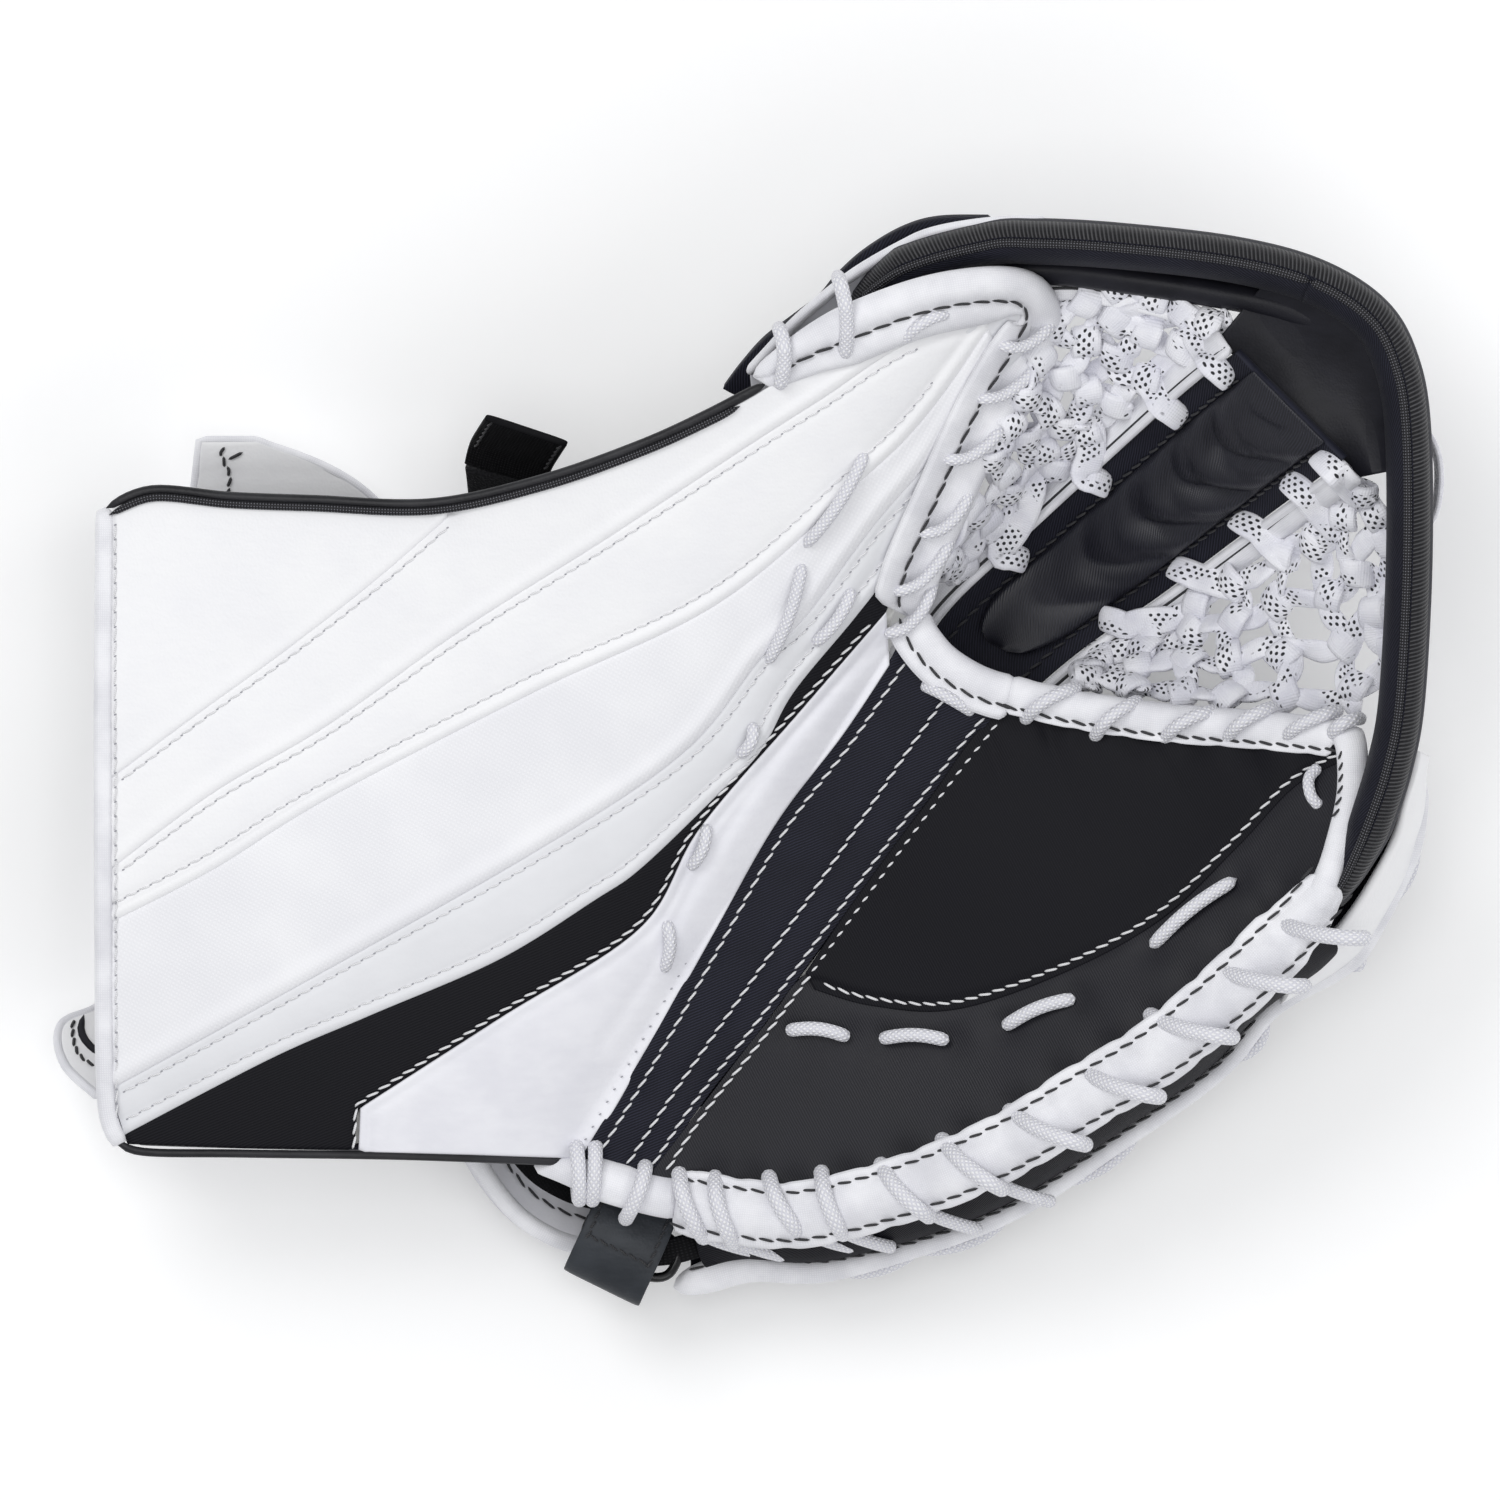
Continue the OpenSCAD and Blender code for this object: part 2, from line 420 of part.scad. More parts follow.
module little_stall() color("black")
  sleeve(curve([[14, -92, 30], [40, -94, 30], [66, -94, 32], [82, -92, 36]], 8),
    22, 18, stall_wall);
module heel_flap() color("white")
  slab(curve([[-82, -114, 38], [-76, -125, 36], [-67, -136, 34], [-56, -143, 32],
    [-46, -146, 30]], 8), curve([[-64, -98, 14], [-58, -101, 13.5], [-52, -104, 13],
    [-47, -106, 12.5], [-42, -107, 12]], 8), [0, 0, -6], 3, 3);
// directions across and along the ring's tab
tab_w = [0.897, -0.442, 0];
module strap_tab() color("dimgray")
  strap(curve([[-30, -131, 44], [-35, -143, 47.5], [-39.5, -152.6, 45.5], [-41.5, -157.1, 40.5],
    [-40, -153.6, 35], [-36, -145, 33], [-32, -136, 33]], 18), 2, 25, tab_w);
module strap_ring() color("black") {
  d = [0.432, 0.877, -0.21];
  c = [-35.8, -151.2, 40.3];
  loft(rod_rings_loop([for (i = [0:31]) let (q = 360 * i / 32)
    c + tab_w * 14.5 * sign(cos(q)) * pow(abs(cos(q)), 0.7)
      + d * (7.5 + 7.5 * sign(sin(q)) * pow(abs(sin(q)), 0.7))], ring_d), true);
}
module ring_elastic() color("black")
  strap(curve([[-15, -142, 37], [-14, -136, 37], [-9, -130, 35.5], [0, -125, 33]], 6),
    2, 8);
function rod_rings_loop(P, d) = let (n = len(P)) [for (i = [0:n - 1])
  let (t = unit(P[(i + 1) % n] - P[(i + n - 1) % n]), s = cross(t, [0, 0, 1]))
    [for (j = [0:7]) P[i] + (unit(s) * cos(45 * j) + [0, 0, 1] * sin(45 * j)) * d / 2]];

cuff_band_a();
cuff_band_b();
cuff_band_c();
cuff_band_d();
cuff_band_e();
cuff_side_panel();
cuff_patch();
cuff_foam();
cuff_plate();
cuff_lining();
cuff_end_binding();
cuff_top_piping();
cuff_bottom_piping();
thumb_edge_roll();
thumb_edge_lacing();
thumb_face_lacing();
thumb_stall();
wrist_guard_shell();
wrist_guard_foam();
wrist_guard_lining();
wrist_strap();
wrist_strap_end();
gusset_strip_a();
gusset_strip_b();
gusset_foam();
gusset_top_binding();
heel_roll();
t_strap();
t_pad();
t_binding_left();
t_binding_right();
corner_patch();
perimeter_bar();
bar_piping();
thumb_web();
finger_web();
palm_patch();
palm_skin();
palm_foam();
palm_lining();
pocket_edge_roll();
pocket_edge_lacing();
palm_side_binding();
palm_roll();
palm_roll_lacing();
palm_face_lacing();
finger_wall();
back_binding();
back_board();
pocket_wall();
hand_back_pad();
index_stall();
middle_stall();
ring_stall();
little_stall();
heel_flap();
strap_tab();
strap_ring();
ring_elastic();
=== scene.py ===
"""The looks of a goalie catch glove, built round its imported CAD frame.

Most outlines and routes repeat the CAD's own round points, in millimetres; every mesh is
made in metres in the same frame, so nothing is fitted afterwards.
"""

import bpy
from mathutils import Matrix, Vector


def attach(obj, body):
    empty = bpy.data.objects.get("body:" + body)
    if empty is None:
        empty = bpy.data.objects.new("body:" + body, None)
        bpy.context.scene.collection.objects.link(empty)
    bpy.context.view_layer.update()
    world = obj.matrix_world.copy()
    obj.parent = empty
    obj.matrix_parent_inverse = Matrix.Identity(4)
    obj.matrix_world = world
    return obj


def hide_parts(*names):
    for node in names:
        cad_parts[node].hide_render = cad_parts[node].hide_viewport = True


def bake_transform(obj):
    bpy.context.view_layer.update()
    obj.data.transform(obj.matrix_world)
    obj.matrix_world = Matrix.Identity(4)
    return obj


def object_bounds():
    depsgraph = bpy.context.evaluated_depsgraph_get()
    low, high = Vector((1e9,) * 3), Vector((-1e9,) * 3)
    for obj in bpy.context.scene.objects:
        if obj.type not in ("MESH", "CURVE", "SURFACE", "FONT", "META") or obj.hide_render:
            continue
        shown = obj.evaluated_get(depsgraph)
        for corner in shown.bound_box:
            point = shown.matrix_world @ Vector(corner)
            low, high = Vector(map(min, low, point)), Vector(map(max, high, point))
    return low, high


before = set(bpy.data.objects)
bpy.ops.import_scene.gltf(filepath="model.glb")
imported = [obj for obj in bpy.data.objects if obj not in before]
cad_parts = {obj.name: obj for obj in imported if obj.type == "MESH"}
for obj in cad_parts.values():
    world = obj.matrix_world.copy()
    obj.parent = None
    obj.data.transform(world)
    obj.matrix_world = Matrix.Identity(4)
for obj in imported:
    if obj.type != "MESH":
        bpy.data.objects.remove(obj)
cad_box = [list(corner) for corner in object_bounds()]

import math

import bmesh
import bpy
import numpy as np

MM = 0.001
chance = np.random.default_rng(7)  # only the two webs draw from it


# ---- camera ----
def make_camera():
    """Looks straight down on the open palm, from far enough to flatten perspective."""
    view_width = 0.45
    lens = 600.0
    look_height = 0.09
    aside = (0.003, 0.0045)
    low, high = cad_box
    camera = bpy.data.objects.new("camera", bpy.data.cameras.new("camera"))
    camera.data.lens = lens
    camera.data.clip_end = 50.0
    distance = view_width * lens / camera.data.sensor_width
    camera.location = ((low[0] + high[0]) / 2 + aside[0], (low[1] + high[1]) / 2 + aside[1],
                       look_height + distance)
    bpy.context.scene.collection.objects.link(camera)
    bpy.context.scene.camera = camera


make_camera()


# ---- curves ----
def unit(v):
    return v / np.maximum(np.linalg.norm(v, axis=-1, keepdims=True), 1e-9)


def mix(a, b, f):
    return a + (b - a) * f


def smooth(x):
    x = np.clip(x, 0, 1)
    return x * x * (3 - 2 * x)


def spline(points, t):
    """The smooth curve through round points, at places t from 0 to len - 1."""
    p = np.asarray(points, float)
    t = np.clip(np.asarray(t, float), 0, len(p) - 1)
    i = np.minimum(t.astype(int), len(p) - 2)
    f = (t - i)[..., None]
    a, b, c, d = p[np.maximum(i - 1, 0)], p[i], p[i + 1], p[np.minimum(i + 2, len(p) - 1)]
    return 0.5 * (2 * b + (c - a) * f + (2 * a - 5 * b + 4 * c - d) * f * f
                  + (3 * b - a - 3 * c + d) * f ** 3)


def curve(points, n):
    return spline(points, np.linspace(0, len(points) - 1, n + 1))


def lengths(path):
    return np.r_[0, np.cumsum(np.linalg.norm(np.diff(path, axis=0), axis=1))]


def pick(values, length, at):
    """Rows of values, which go with the given lengths, at other lengths."""
    return np.stack([np.interp(at, length, column) for column in values.T], 1)


def even(path, n):
    """n + 1 points spaced evenly along a path."""
    length = lengths(path)
    return pick(path, length, np.linspace(0, length[-1], n + 1))


def spaced(points, step):
    """The smooth curve through the points, with a point about every step."""
    path = curve(points, 24 * len(points))
    return even(path, max(int(lengths(path)[-1] / step), 3))


def tangents(path):
    return unit(np.gradient(path, axis=0))


def offset(path, d):
    """A plan path moved d to the left of its travel."""
    t = tangents(path)
    return path + np.stack([-t[:, 1], t[:, 0]], 1) * d


def signed_distance(p, path):
    """Distance of plan points from a path, positive on its left."""
    flat = p.reshape(-1, 1, 2)
    a, b = path[:-1], path[1:]
    ab = b - a
    f = np.clip(((flat - a) * ab).sum(-1) / (ab * ab).sum(-1), 0, 1)
    d = flat - (a + ab * f[..., None])
    gap = np.hypot(d[..., 0], d[..., 1])
    k = gap.argmin(1)
    row = np.arange(len(flat))
    side = ab[k, 0] * d[row, k, 1] - ab[k, 1] * d[row, k, 0]
    return (gap[row, k] * np.where(side >= 0, 1, -1)).reshape(p.shape[:-1])


# ---- heights of the two facing boards ----
HEEL_X, HEEL_Y, HEEL_Z = -46, -119, 58  # where the fold on the thumb's side starts
FOLD_RISE = 0.1  # of every mm along the fold


def along(p):
    """Distance along the fold, from the heel."""
    return (p[..., 0] - HEEL_X) * 0.539 + (p[..., 1] - HEEL_Y) * 0.842


def out_thumb(p):
    """Distance from the fold towards the cuff."""
    return -(p[..., 0] - HEEL_X) * 0.842 + (p[..., 1] - HEEL_Y) * 0.539


def out_finger(p):
    """Distance from the other fold towards the fingers."""
    return (p[..., 0] + 23) * 0.808 - (p[..., 1] + 123) * 0.59


def thumb_z(p):
    """The cuff's face: it rises away from the fold, and its wrist end curls down at both sides."""
    s = np.maximum(out_thumb(p) - 6, 0)
    up = np.maximum(along(p) - 60, 0)
    return (HEEL_Z + FOLD_RISE * along(p) + 34 * (1 - np.exp(-s / 45))
            + 0.0007 * up * up * (1 - np.exp(-s / 30))
            - 0.0007 * (p[..., 1] + 15) ** 2 * np.clip((-p[..., 0] - 40) / 150, 0, 1))


def palm_z(p):
    """The palm's face: it curves up away from its fold."""
    return HEEL_Z + FOLD_RISE * along(p) + 0.003 * np.maximum(out_finger(p), 0) ** 2


def lay(height, path, dz=0.0):
    """A plan path laid on a height, and dz above it."""
    path = np.asarray(path, float)[:, :2]
    return np.column_stack([path, height(path) + dz])


# ---- meshes ----
def skin(p, wrap_u=False):
    """Points, faces and corner textures (in metres) of n closed rings, capped or wrapped round."""
    n, m = p.shape[:2]
    i, j = np.meshgrid(np.arange(n if wrap_u else n - 1), np.arange(m), indexing="ij")
    corners = [(i, j), (i + 1, j), (i + 1, j + 1), (i, j + 1)]
    faces = np.stack([(x % n) * m + y % m for x, y in corners], -1).reshape(-1, 4)
    places = np.stack([x * (m + 1) + y for x, y in corners], -1).reshape(-1)
    q = np.concatenate([p, p[:1]], 0)
    q = np.concatenate([q, q[:, :1]], 1)
    u = np.r_[0, np.cumsum(np.linalg.norm(np.diff(q, axis=0), axis=2).mean(1))]
    v = np.concatenate([np.zeros((n + 1, 1)),
                        np.cumsum(np.linalg.norm(np.diff(q, axis=1), axis=2), axis=1)], 1)
    texture = np.stack([np.broadcast_to(u[:, None], v.shape), v], -1).reshape(-1, 2)[places]
    faces = faces.tolist()
    if not wrap_u:
        faces += [list(range(m))[::-1], list(range((n - 1) * m, n * m))]
        texture = np.concatenate([texture, np.zeros((2 * m, 2))])
    return p.reshape(-1, 3), faces, texture * MM


def piece(name, parts, finish, body, replaced=None, faces_in=None):
    """One object from rings or skins, in a finish or in the two that faces_in picks from.

    It stands for the CAD node of its name, unless the call says otherwise.
    """
    finishes = finish if isinstance(finish, list) else [finish]
    if isinstance(parts, np.ndarray):
        parts = skin(parts)
    points, faces, texture, start = [], [], [], 0
    for part in [parts] if isinstance(parts, tuple) else parts:
        points.append(part[0])
        faces += [[k + start for k in face] for face in part[1]] if start else part[1]
        texture.append(part[2])
        start += len(part[0])
    data = bpy.data.meshes.new(name)
    data.from_pydata((np.concatenate(points) * MM).tolist(), [], faces)
    data.uv_layers.new(name="UVMap").uv.foreach_set(
        "vector", np.concatenate(texture).astype(np.float32).ravel())
    for each in finishes:
        data.materials.append(each)
    if faces_in is not None:
        data.polygons.foreach_set("material_index", np.asarray(faces_in, np.int32))
    mesh = bmesh.new()
    mesh.from_mesh(data)
    bmesh.ops.recalc_face_normals(mesh, faces=mesh.faces)
    mesh.to_mesh(data)
    mesh.free()
    data.polygons.foreach_set("use_smooth", np.ones(len(data.polygons), bool))
    thing = bpy.data.objects.new(name, data)
    bpy.context.scene.collection.objects.link(thing)
    if isinstance(body, str):
        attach(thing, body)
    else:
        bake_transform(thing)
    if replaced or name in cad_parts:
        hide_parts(replaced or name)
    return thing


def side_frame(path, up=(0, 0, 1)):
    """The sideways and upward directions along a path."""
    t = tangents(path)
    s = unit(np.cross(t, np.broadcast_to(np.asarray(up, float), t.shape)))
    return s, np.cross(s, t)


def swept(path, section, up=(0, 0, 1), scale=1.0):
    """Rings of a section, a list of (side, up) points, carried along a path."""
    s, u = side_frame(path, up)
    section = np.asarray(section, float)
    scale = np.broadcast_to(np.asarray(scale, float), (len(path),))[:, None, None]
    return path[:, None] + scale * (s[:, None] * section[:, :1] + u[:, None] * section[:, 1:])


def oval(a, b, sides, power=1.0):
    """A section a wide and b high, squarer as the power goes from 1 towards 0."""
    q = 2 * math.pi * (np.arange(sides) + 0.5) / sides
    c, s = np.cos(q), np.sin(q)
    return np.stack([a / 2 * np.sign(c) * np.abs(c) ** power,
                     b / 2 * np.sign(s) * np.abs(s) ** power], 1)


def round_ends(n, reach):
    """Scales that close a sweep of n rings in a round nose over reach rings."""
    d = np.minimum(np.arange(n), np.arange(n)[::-1]) / reach
    return np.sqrt(np.clip(1 - (1 - np.clip(d, 0, 1)) ** 2, 0.004, 1))


def rod(path, a, b=None, sides=12, nose=3):
    """A rod a wide and b high along a path, with round noses."""
    return skin(swept(path, oval(a, b or a, sides), scale=round_ends(len(path), nose)))


def sheet_between(a, b, across, top, thick, roll=0.8):
    """A closed skin between plan outlines a and b with its upper face at top(p)."""
    f = np.linspace(0, 1, across + 1)
    v = 0.5 - 0.5 * np.cos(math.pi * f)
    p = a[:, None] + (b - a)[:, None] * v[:, None]
    width = np.linalg.norm(b - a, axis=1)[:, None]
    s = lengths((a + b) / 2)[:, None]
    edge = np.minimum(np.minimum(v * width, (1 - v) * width), np.minimum(s, s[-1] - s) + 0.4)
    fall = np.clip(1 - edge / roll, 0, 1)
    z = top(p)
    upper = np.concatenate([p, (z - roll * (1 - np.sqrt(1 - fall * fall)))[..., None]], -1)
    lower = np.concatenate([p, (z - thick)[..., None]], -1)[:, ::-1]
    return np.concatenate([upper, lower], 1)


def sheet_in_space(a, b, across, relief, thick, sag=0.0):
    """A closed skin between two space curves; relief(u, v) lifts its upper face."""
    v = np.linspace(0, 1, across + 1)
    u = np.linspace(0, 1, len(a))[:, None]
    p = a[:, None] + (b - a)[:, None] * v[:, None]
    normal = unit(np.cross(np.gradient(p, axis=0), np.gradient(p, axis=1)))
    normal = normal * np.sign(normal[..., 2:].mean() or 1.0)
    p = p - np.array([0, 0, 1.0]) * (sag * 4 * v * (1 - v))[None, :, None]
    upper = p + normal * relief(u, v[None, :])[..., None]
    lower = (p - normal * thick)[:, ::-1]
    return np.concatenate([upper, lower], 1)


def bulge(rise):
    """The relief of a sheet that is fullest along its middle."""
    return lambda u, v: rise * np.sin(math.pi * v) + 0 * u


# ---- thread ----
STITCH = 4.3  # from one needle hole to the next


def stitches(path, up=(0, 0, 1), pitch=STITCH, fill=0.97, slant=0.42, thick=0.85, lift=0.15):
    """Thread stitches in a row along a path, each one arched and set a little askew."""
    path = even(path, max(int(lengths(path)[-1] / 0.5), 4))
    length = lengths(path)
    count = max(int(length[-1] / pitch), 1)
    s, u = side_frame(path, up)
    f = np.linspace(0, 1, 7)
    arch = np.sin(math.pi * f)[:, None]
    parts = []
    for k in range(count):
        at = (k + 0.5 + (f - 0.5) * fill) * length[-1] / count
        line = (pick(path, length, at) + pick(s, length, at) * ((f - 0.5) * 2 * slant)[:, None]
                + pick(u, length, at) * (lift + 0.45 * (arch - 0.5)))
        parts.append(rod(line, thick, sides=6, nose=1.6))
    return parts


def hole_shade_dots(path):
    """Small grey dots of painted shade where stitches enter white leather, standing for the shadow
    inside each needle hole.
    """
    mark = np.array([[-0.5, -0.25, 0.0], [-0.2, -0.1, 0.05], [0.2, 0.1, 0.05], [0.5, 0.25, 0.0]])
    length = lengths(path)
    count = max(int(length[-1] / STITCH), 1)
    places = pick(path, length, np.arange(count + 1) * length[-1] / count)
    return [rod(c + mark * 0.9, 0.55, sides=6, nose=1.4) for c in places]


# ---- materials ----
class Shader:
    """Builds one procedural material; fixed numbers are set on the shader itself."""

    def __init__(self, name, **fixed):
        self.material = bpy.data.materials.new(name)
        self.material.use_nodes = True
        self.tree = self.material.node_tree
        self.shader = self.tree.nodes["Principled BSDF"]
        for key, value in fixed.items():
            self.shader.inputs[key.replace("_", " ")].default_value = value
        place = self.tree.nodes.new("ShaderNodeTexCoord")
        self.uv, self.space = place.outputs["UV"], place.outputs["Object"]

    def node(self, kind, inputs, **settings):
        made = self.tree.nodes.new(kind)
        for key, value in settings.items():
            setattr(made, key, value)
        for key, value in inputs.items():
            if isinstance(value, bpy.types.NodeSocket):
                self.tree.links.new(value, made.inputs[key])
            else:
                made.inputs[key].default_value = value
        return made

    def calc(self, operation, a, b=0.0, c=0.0):
        return self.node("ShaderNodeMath", {0: a, 1: b, 2: c}, operation=operation).outputs[0]

    def times(self, a, b):
        return self.calc("MULTIPLY", a, b)

    def scaled(self, a, b, c):
        """a times b, plus c."""
        return self.calc("MULTIPLY_ADD", a, b, c)

    def axis(self, vector, k):
        return self.node("ShaderNodeSeparateXYZ", {0: vector}).outputs[k]

    def slanted(self, vector, angle):
        """Distance along a direction in the first two axes, in metres."""
        x = self.times(self.axis(vector, 0), math.cos(math.radians(angle)))
        return self.scaled(self.axis(vector, 1), math.sin(math.radians(angle)), x)

    def wave(self, distance, pitch):
        """A wave from 0 to 1 with the given pitch in metres."""
        turned = self.scaled(distance, 2 * math.pi / pitch, 0.0)
        return self.scaled(self.calc("SINE", turned), 0.5, 0.5)

    def noise(self, size, detail=2.0, stretch=None):
        vector = self.space
        if stretch:
            vector = self.node("ShaderNodeVectorMath", {0: vector, 1: stretch},
                               operation="MULTIPLY").outputs[0]
        made = self.node("ShaderNodeTexNoise", {"Vector": vector, "Scale": 1 / size,
                                                "Detail": detail})
        return made.outputs["Fac"]

    def pebbles(self, size):
        made = self.node("ShaderNodeTexVoronoi", {"Vector": self.space, "Scale": 1 / size,
                                                  "Smoothness": 0.5}, feature="SMOOTH_F1")
        return made.outputs["Distance"]

    def step(self, value, low, high):
        made = self.node("ShaderNodeMapRange", {0: value, 1: low, 2: high, 3: 0.0, 4: 1.0},
                         interpolation_type="SMOOTHSTEP")
        return made.outputs[0]

    def tint(self, mask, dark, light):
        """From dark to light as the mask goes from 0 to 1. Dark may be a tint itself."""
        under = (*dark, 1) if isinstance(dark, tuple) else dark
        made = self.node("ShaderNodeMix", {"Factor": mask, 6: under, 7: (*light, 1)},
                         data_type="RGBA")
        return made.outputs[2]

    def finish(self, colour, height, depth, rough=None):
        """Joins up colour, relief and, as low, high and mask, the roughness."""
        self.tree.links.new(colour, self.shader.inputs["Base Color"])
        bump = self.node("ShaderNodeBump", {"Height": height, "Strength": 1.0,
                                            "Distance": depth})
        self.tree.links.new(bump.outputs[0], self.shader.inputs["Normal"])
        if rough is not None:
            low, high, mask = rough
            made = self.node("ShaderNodeMapRange", {0: mask, 1: 0.0, 2: 1.0, 3: low, 4: high})
            self.tree.links.new(made.outputs[0], self.shader.inputs["Roughness"])
        return self.material


def leather(name, dark, light, grain=0.9e-3, depth=0.05e-3, rough=(0.38, 0.52), shine=0.45):
    """Fine-grained synthetic leather with faint stretch creases and uneven gloss."""
    s = Shader(name, Specular_IOR_Level=shine)
    cloud = s.noise(22e-3, 3.0)
    crease = s.noise(6e-3, 4.0, stretch=(1.0, 2.4, 1.0))
    height = s.scaled(crease, 1.6, s.pebbles(grain))
    colour = s.tint(s.step(s.scaled(crease, 0.35, cloud), 0.35, 0.95), dark, light)
    return s.finish(colour, height, depth, (*rough, cloud))


def woven_leather(name, dark, light, pitch=1.15e-3, depth=0.05e-3):
    """Synthetic leather printed with a fine square weave."""
    s = Shader(name, Specular_IOR_Level=0.4)
    warp = s.wave(s.slanted(s.space, 62.0), pitch)
    weft = s.wave(s.slanted(s.space, -28.0), pitch)
    weave = s.times(warp, weft)
    fade = s.noise(30e-3, 3.0)
    height = s.scaled(s.noise(5e-3, 4.0), 1.2, weave)
    colour = s.tint(s.step(s.scaled(weave, 0.25, fade), 0.3, 0.9), dark, light)
    return s.finish(colour, height, depth, (0.42, 0.56, fade))


def twill(name, dark, light, angle=112.0, pitch=0.8e-3, depth=0.13e-3, on_uv=False, sheen=0.04,
          shine=0.16, rough=(0.5, 0.68)):
    """Nylon twill: fine diagonal ribs, a soft sheen, and soft lighter patches that are partly
    rubbed cloth and partly painted highlight.
    """
    s = Shader(name, Sheen_Weight=sheen, Sheen_Roughness=0.4, Specular_IOR_Level=shine)
    base = s.uv if on_uv else s.space
    wander = s.times(s.noise(4e-3, 2.0), 0.35e-3)
    rib = s.wave(s.calc("ADD", s.slanted(base, angle), wander), pitch)
    yarn = s.wave(s.slanted(base, angle + 70.0), pitch * 0.55)
    # soft lighter patches: partly rubbed cloth, partly painted highlight
    rubbed_and_highlight = s.noise(18e-3, 4.0)
    weave = s.times(rib, s.scaled(yarn, 0.4, 0.6))
    lit = s.times(weave, s.scaled(rubbed_and_highlight, 0.9, 0.25))
    return s.finish(s.tint(lit, dark, light), weave, depth, (*rough, rubbed_and_highlight))


def tape(name, dark, light, depth=0.06e-3):
    """White binding tape: a close plain weave that greys a little with handling."""
    s = Shader(name, Sheen_Weight=0.15, Specular_IOR_Level=0.35)
    weave = s.times(s.wave(s.axis(s.uv, 0), 0.7e-3), s.wave(s.axis(s.uv, 1), 0.7e-3))
    soiled = s.noise(14e-3, 4.0)
    height = s.scaled(s.noise(3e-3, 3.0), 1.5, weave)
    colour = s.tint(s.step(s.scaled(weave, 0.2, soiled), 0.32, 0.75), dark, light)
    return s.finish(colour, height, depth, (0.5, 0.64, soiled))


def braid(name, dark, light):
    """Round braided lace: two sets of strands crossing on the slant."""
    s = Shader(name, Sheen_Weight=0.2, Specular_IOR_Level=0.4)
    across = s.axis(s.uv, 1)
    up = s.calc("ADD", s.axis(s.uv, 0), across)
    down = s.calc("SUBTRACT", s.axis(s.uv, 0), across)
    strands = s.times(s.wave(up, 1.8e-3), s.wave(down, 1.8e-3))
    fuzz = s.noise(0.5e-3, 2.0)
    height = s.scaled(fuzz, 0.25, strands)
    return s.finish(s.tint(s.step(strands, 0.0, 0.45), dark, light), height, 0.35e-3,
                    (0.5, 0.62, fuzz))


LACE_W = 9.0  # of the flat lace in the webs


def dotted_lace(name):
    """Flat woven lace with staggered rows of black tracer dots that come and go."""
    s = Shader(name, Sheen_Weight=0.2, Specular_IOR_Level=0.35)
    u, v = s.axis(s.uv, 0), s.axis(s.uv, 1)
    pitch = 2.5e-3
    row = s.calc("DIVIDE", v, pitch * 0.62)
    shift = s.times(s.calc("MODULO", s.calc("FLOOR", row), 2.0), 0.5)
    du = s.calc("SUBTRACT", s.calc("FRACT", s.calc("ADD", s.calc("DIVIDE", u, pitch), shift)), 0.5)
    dv = s.calc("SUBTRACT", s.calc("FRACT", row), 0.5)
    far = s.calc("SQRT", s.calc("ADD", s.times(du, du),
                                s.times(s.times(dv, dv), 0.5)))
    dot = s.calc("SUBTRACT", 1.0, s.step(far, 0.2, 0.27))
    half = s.calc("SUBTRACT", s.calc("FRACT", s.calc("DIVIDE", v, LACE_W * MM)), 0.5)
    band = s.calc("SUBTRACT", 1.0, s.step(s.calc("ABSOLUTE", half), 0.27, 0.31))
    spell = s.step(s.noise(13e-3, 1.0), 0.47, 0.50)
    mask = s.times(dot, s.times(band, spell))
    ribs = s.wave(u, 0.75e-3)
    cords = s.wave(v, 0.9e-3)
    height = s.calc("ADD", ribs, s.times(cords, 0.7))
    plain = s.tint(s.step(s.noise(9e-3, 3.0), 0.25, 0.7), (0.74, 0.74, 0.81), (0.90, 0.90, 0.94))
    return s.finish(s.tint(mask, plain, (0.012, 0.012, 0.016)), height, 0.08e-3,
                    (0.55, 0.68, ribs))


def grosgrain(name, dark, light, pitch=1.15e-3, slant=14.0):
    """Ribbed tape with its ribs across the run."""
    s = Shader(name, Specular_IOR_Level=0.25)
    rib = s.wave(s.slanted(s.uv, slant), pitch)
    yarn = s.wave(s.axis(s.uv, 1), 0.5e-3)
    worn = s.noise(12e-3, 4.0)
    height = s.scaled(yarn, 0.2, rib)
    lit = s.times(s.step(rib, 0.35, 0.95), s.scaled(worn, 0.9, 0.3))
    return s.finish(s.tint(lit, dark, light), height, 0.3e-3, (0.38, 0.55, worn))


def knotted_cord(name, dark, light):
    """The small beaded cord that runs beside the ribbed tape."""
    s = Shader(name, Specular_IOR_Level=0.25)
    bead = s.times(s.wave(s.axis(s.uv, 0), 0.9e-3), s.wave(s.axis(s.uv, 1), 0.9e-3))
    return s.finish(s.tint(s.step(bead, 0.3, 0.8), dark, light), bead, 0.3e-3,
                    (0.4, 0.6, s.noise(6e-3)))


def cloth(name, dark, light, pitch=0.9e-3, depth=0.12e-3):
    """Close knitted lining."""
    s = Shader(name, Sheen_Weight=0.06, Specular_IOR_Level=0.12)
    knit = s.times(s.wave(s.slanted(s.space, 35.0), pitch),
                  s.wave(s.slanted(s.space, -55.0), pitch))
    pill = s.noise(5e-3, 4.0)
    return s.finish(s.tint(s.scaled(pill, 0.5, s.times(knit, 0.5)),
                           dark, light), knit, depth, (0.75, 0.9, pill))


def hook_cloth(name):
    """Hook-and-loop: a dense stubble of tiny black loops."""
    s = Shader(name, Sheen_Weight=0.05, Specular_IOR_Level=0.15)
    loops = s.pebbles(0.8e-3)
    return s.finish(s.tint(loops, (0.004, 0.004, 0.005), (0.022, 0.022, 0.025)), loops, 0.4e-3,
                    (0.6, 0.85, s.noise(3e-3)))


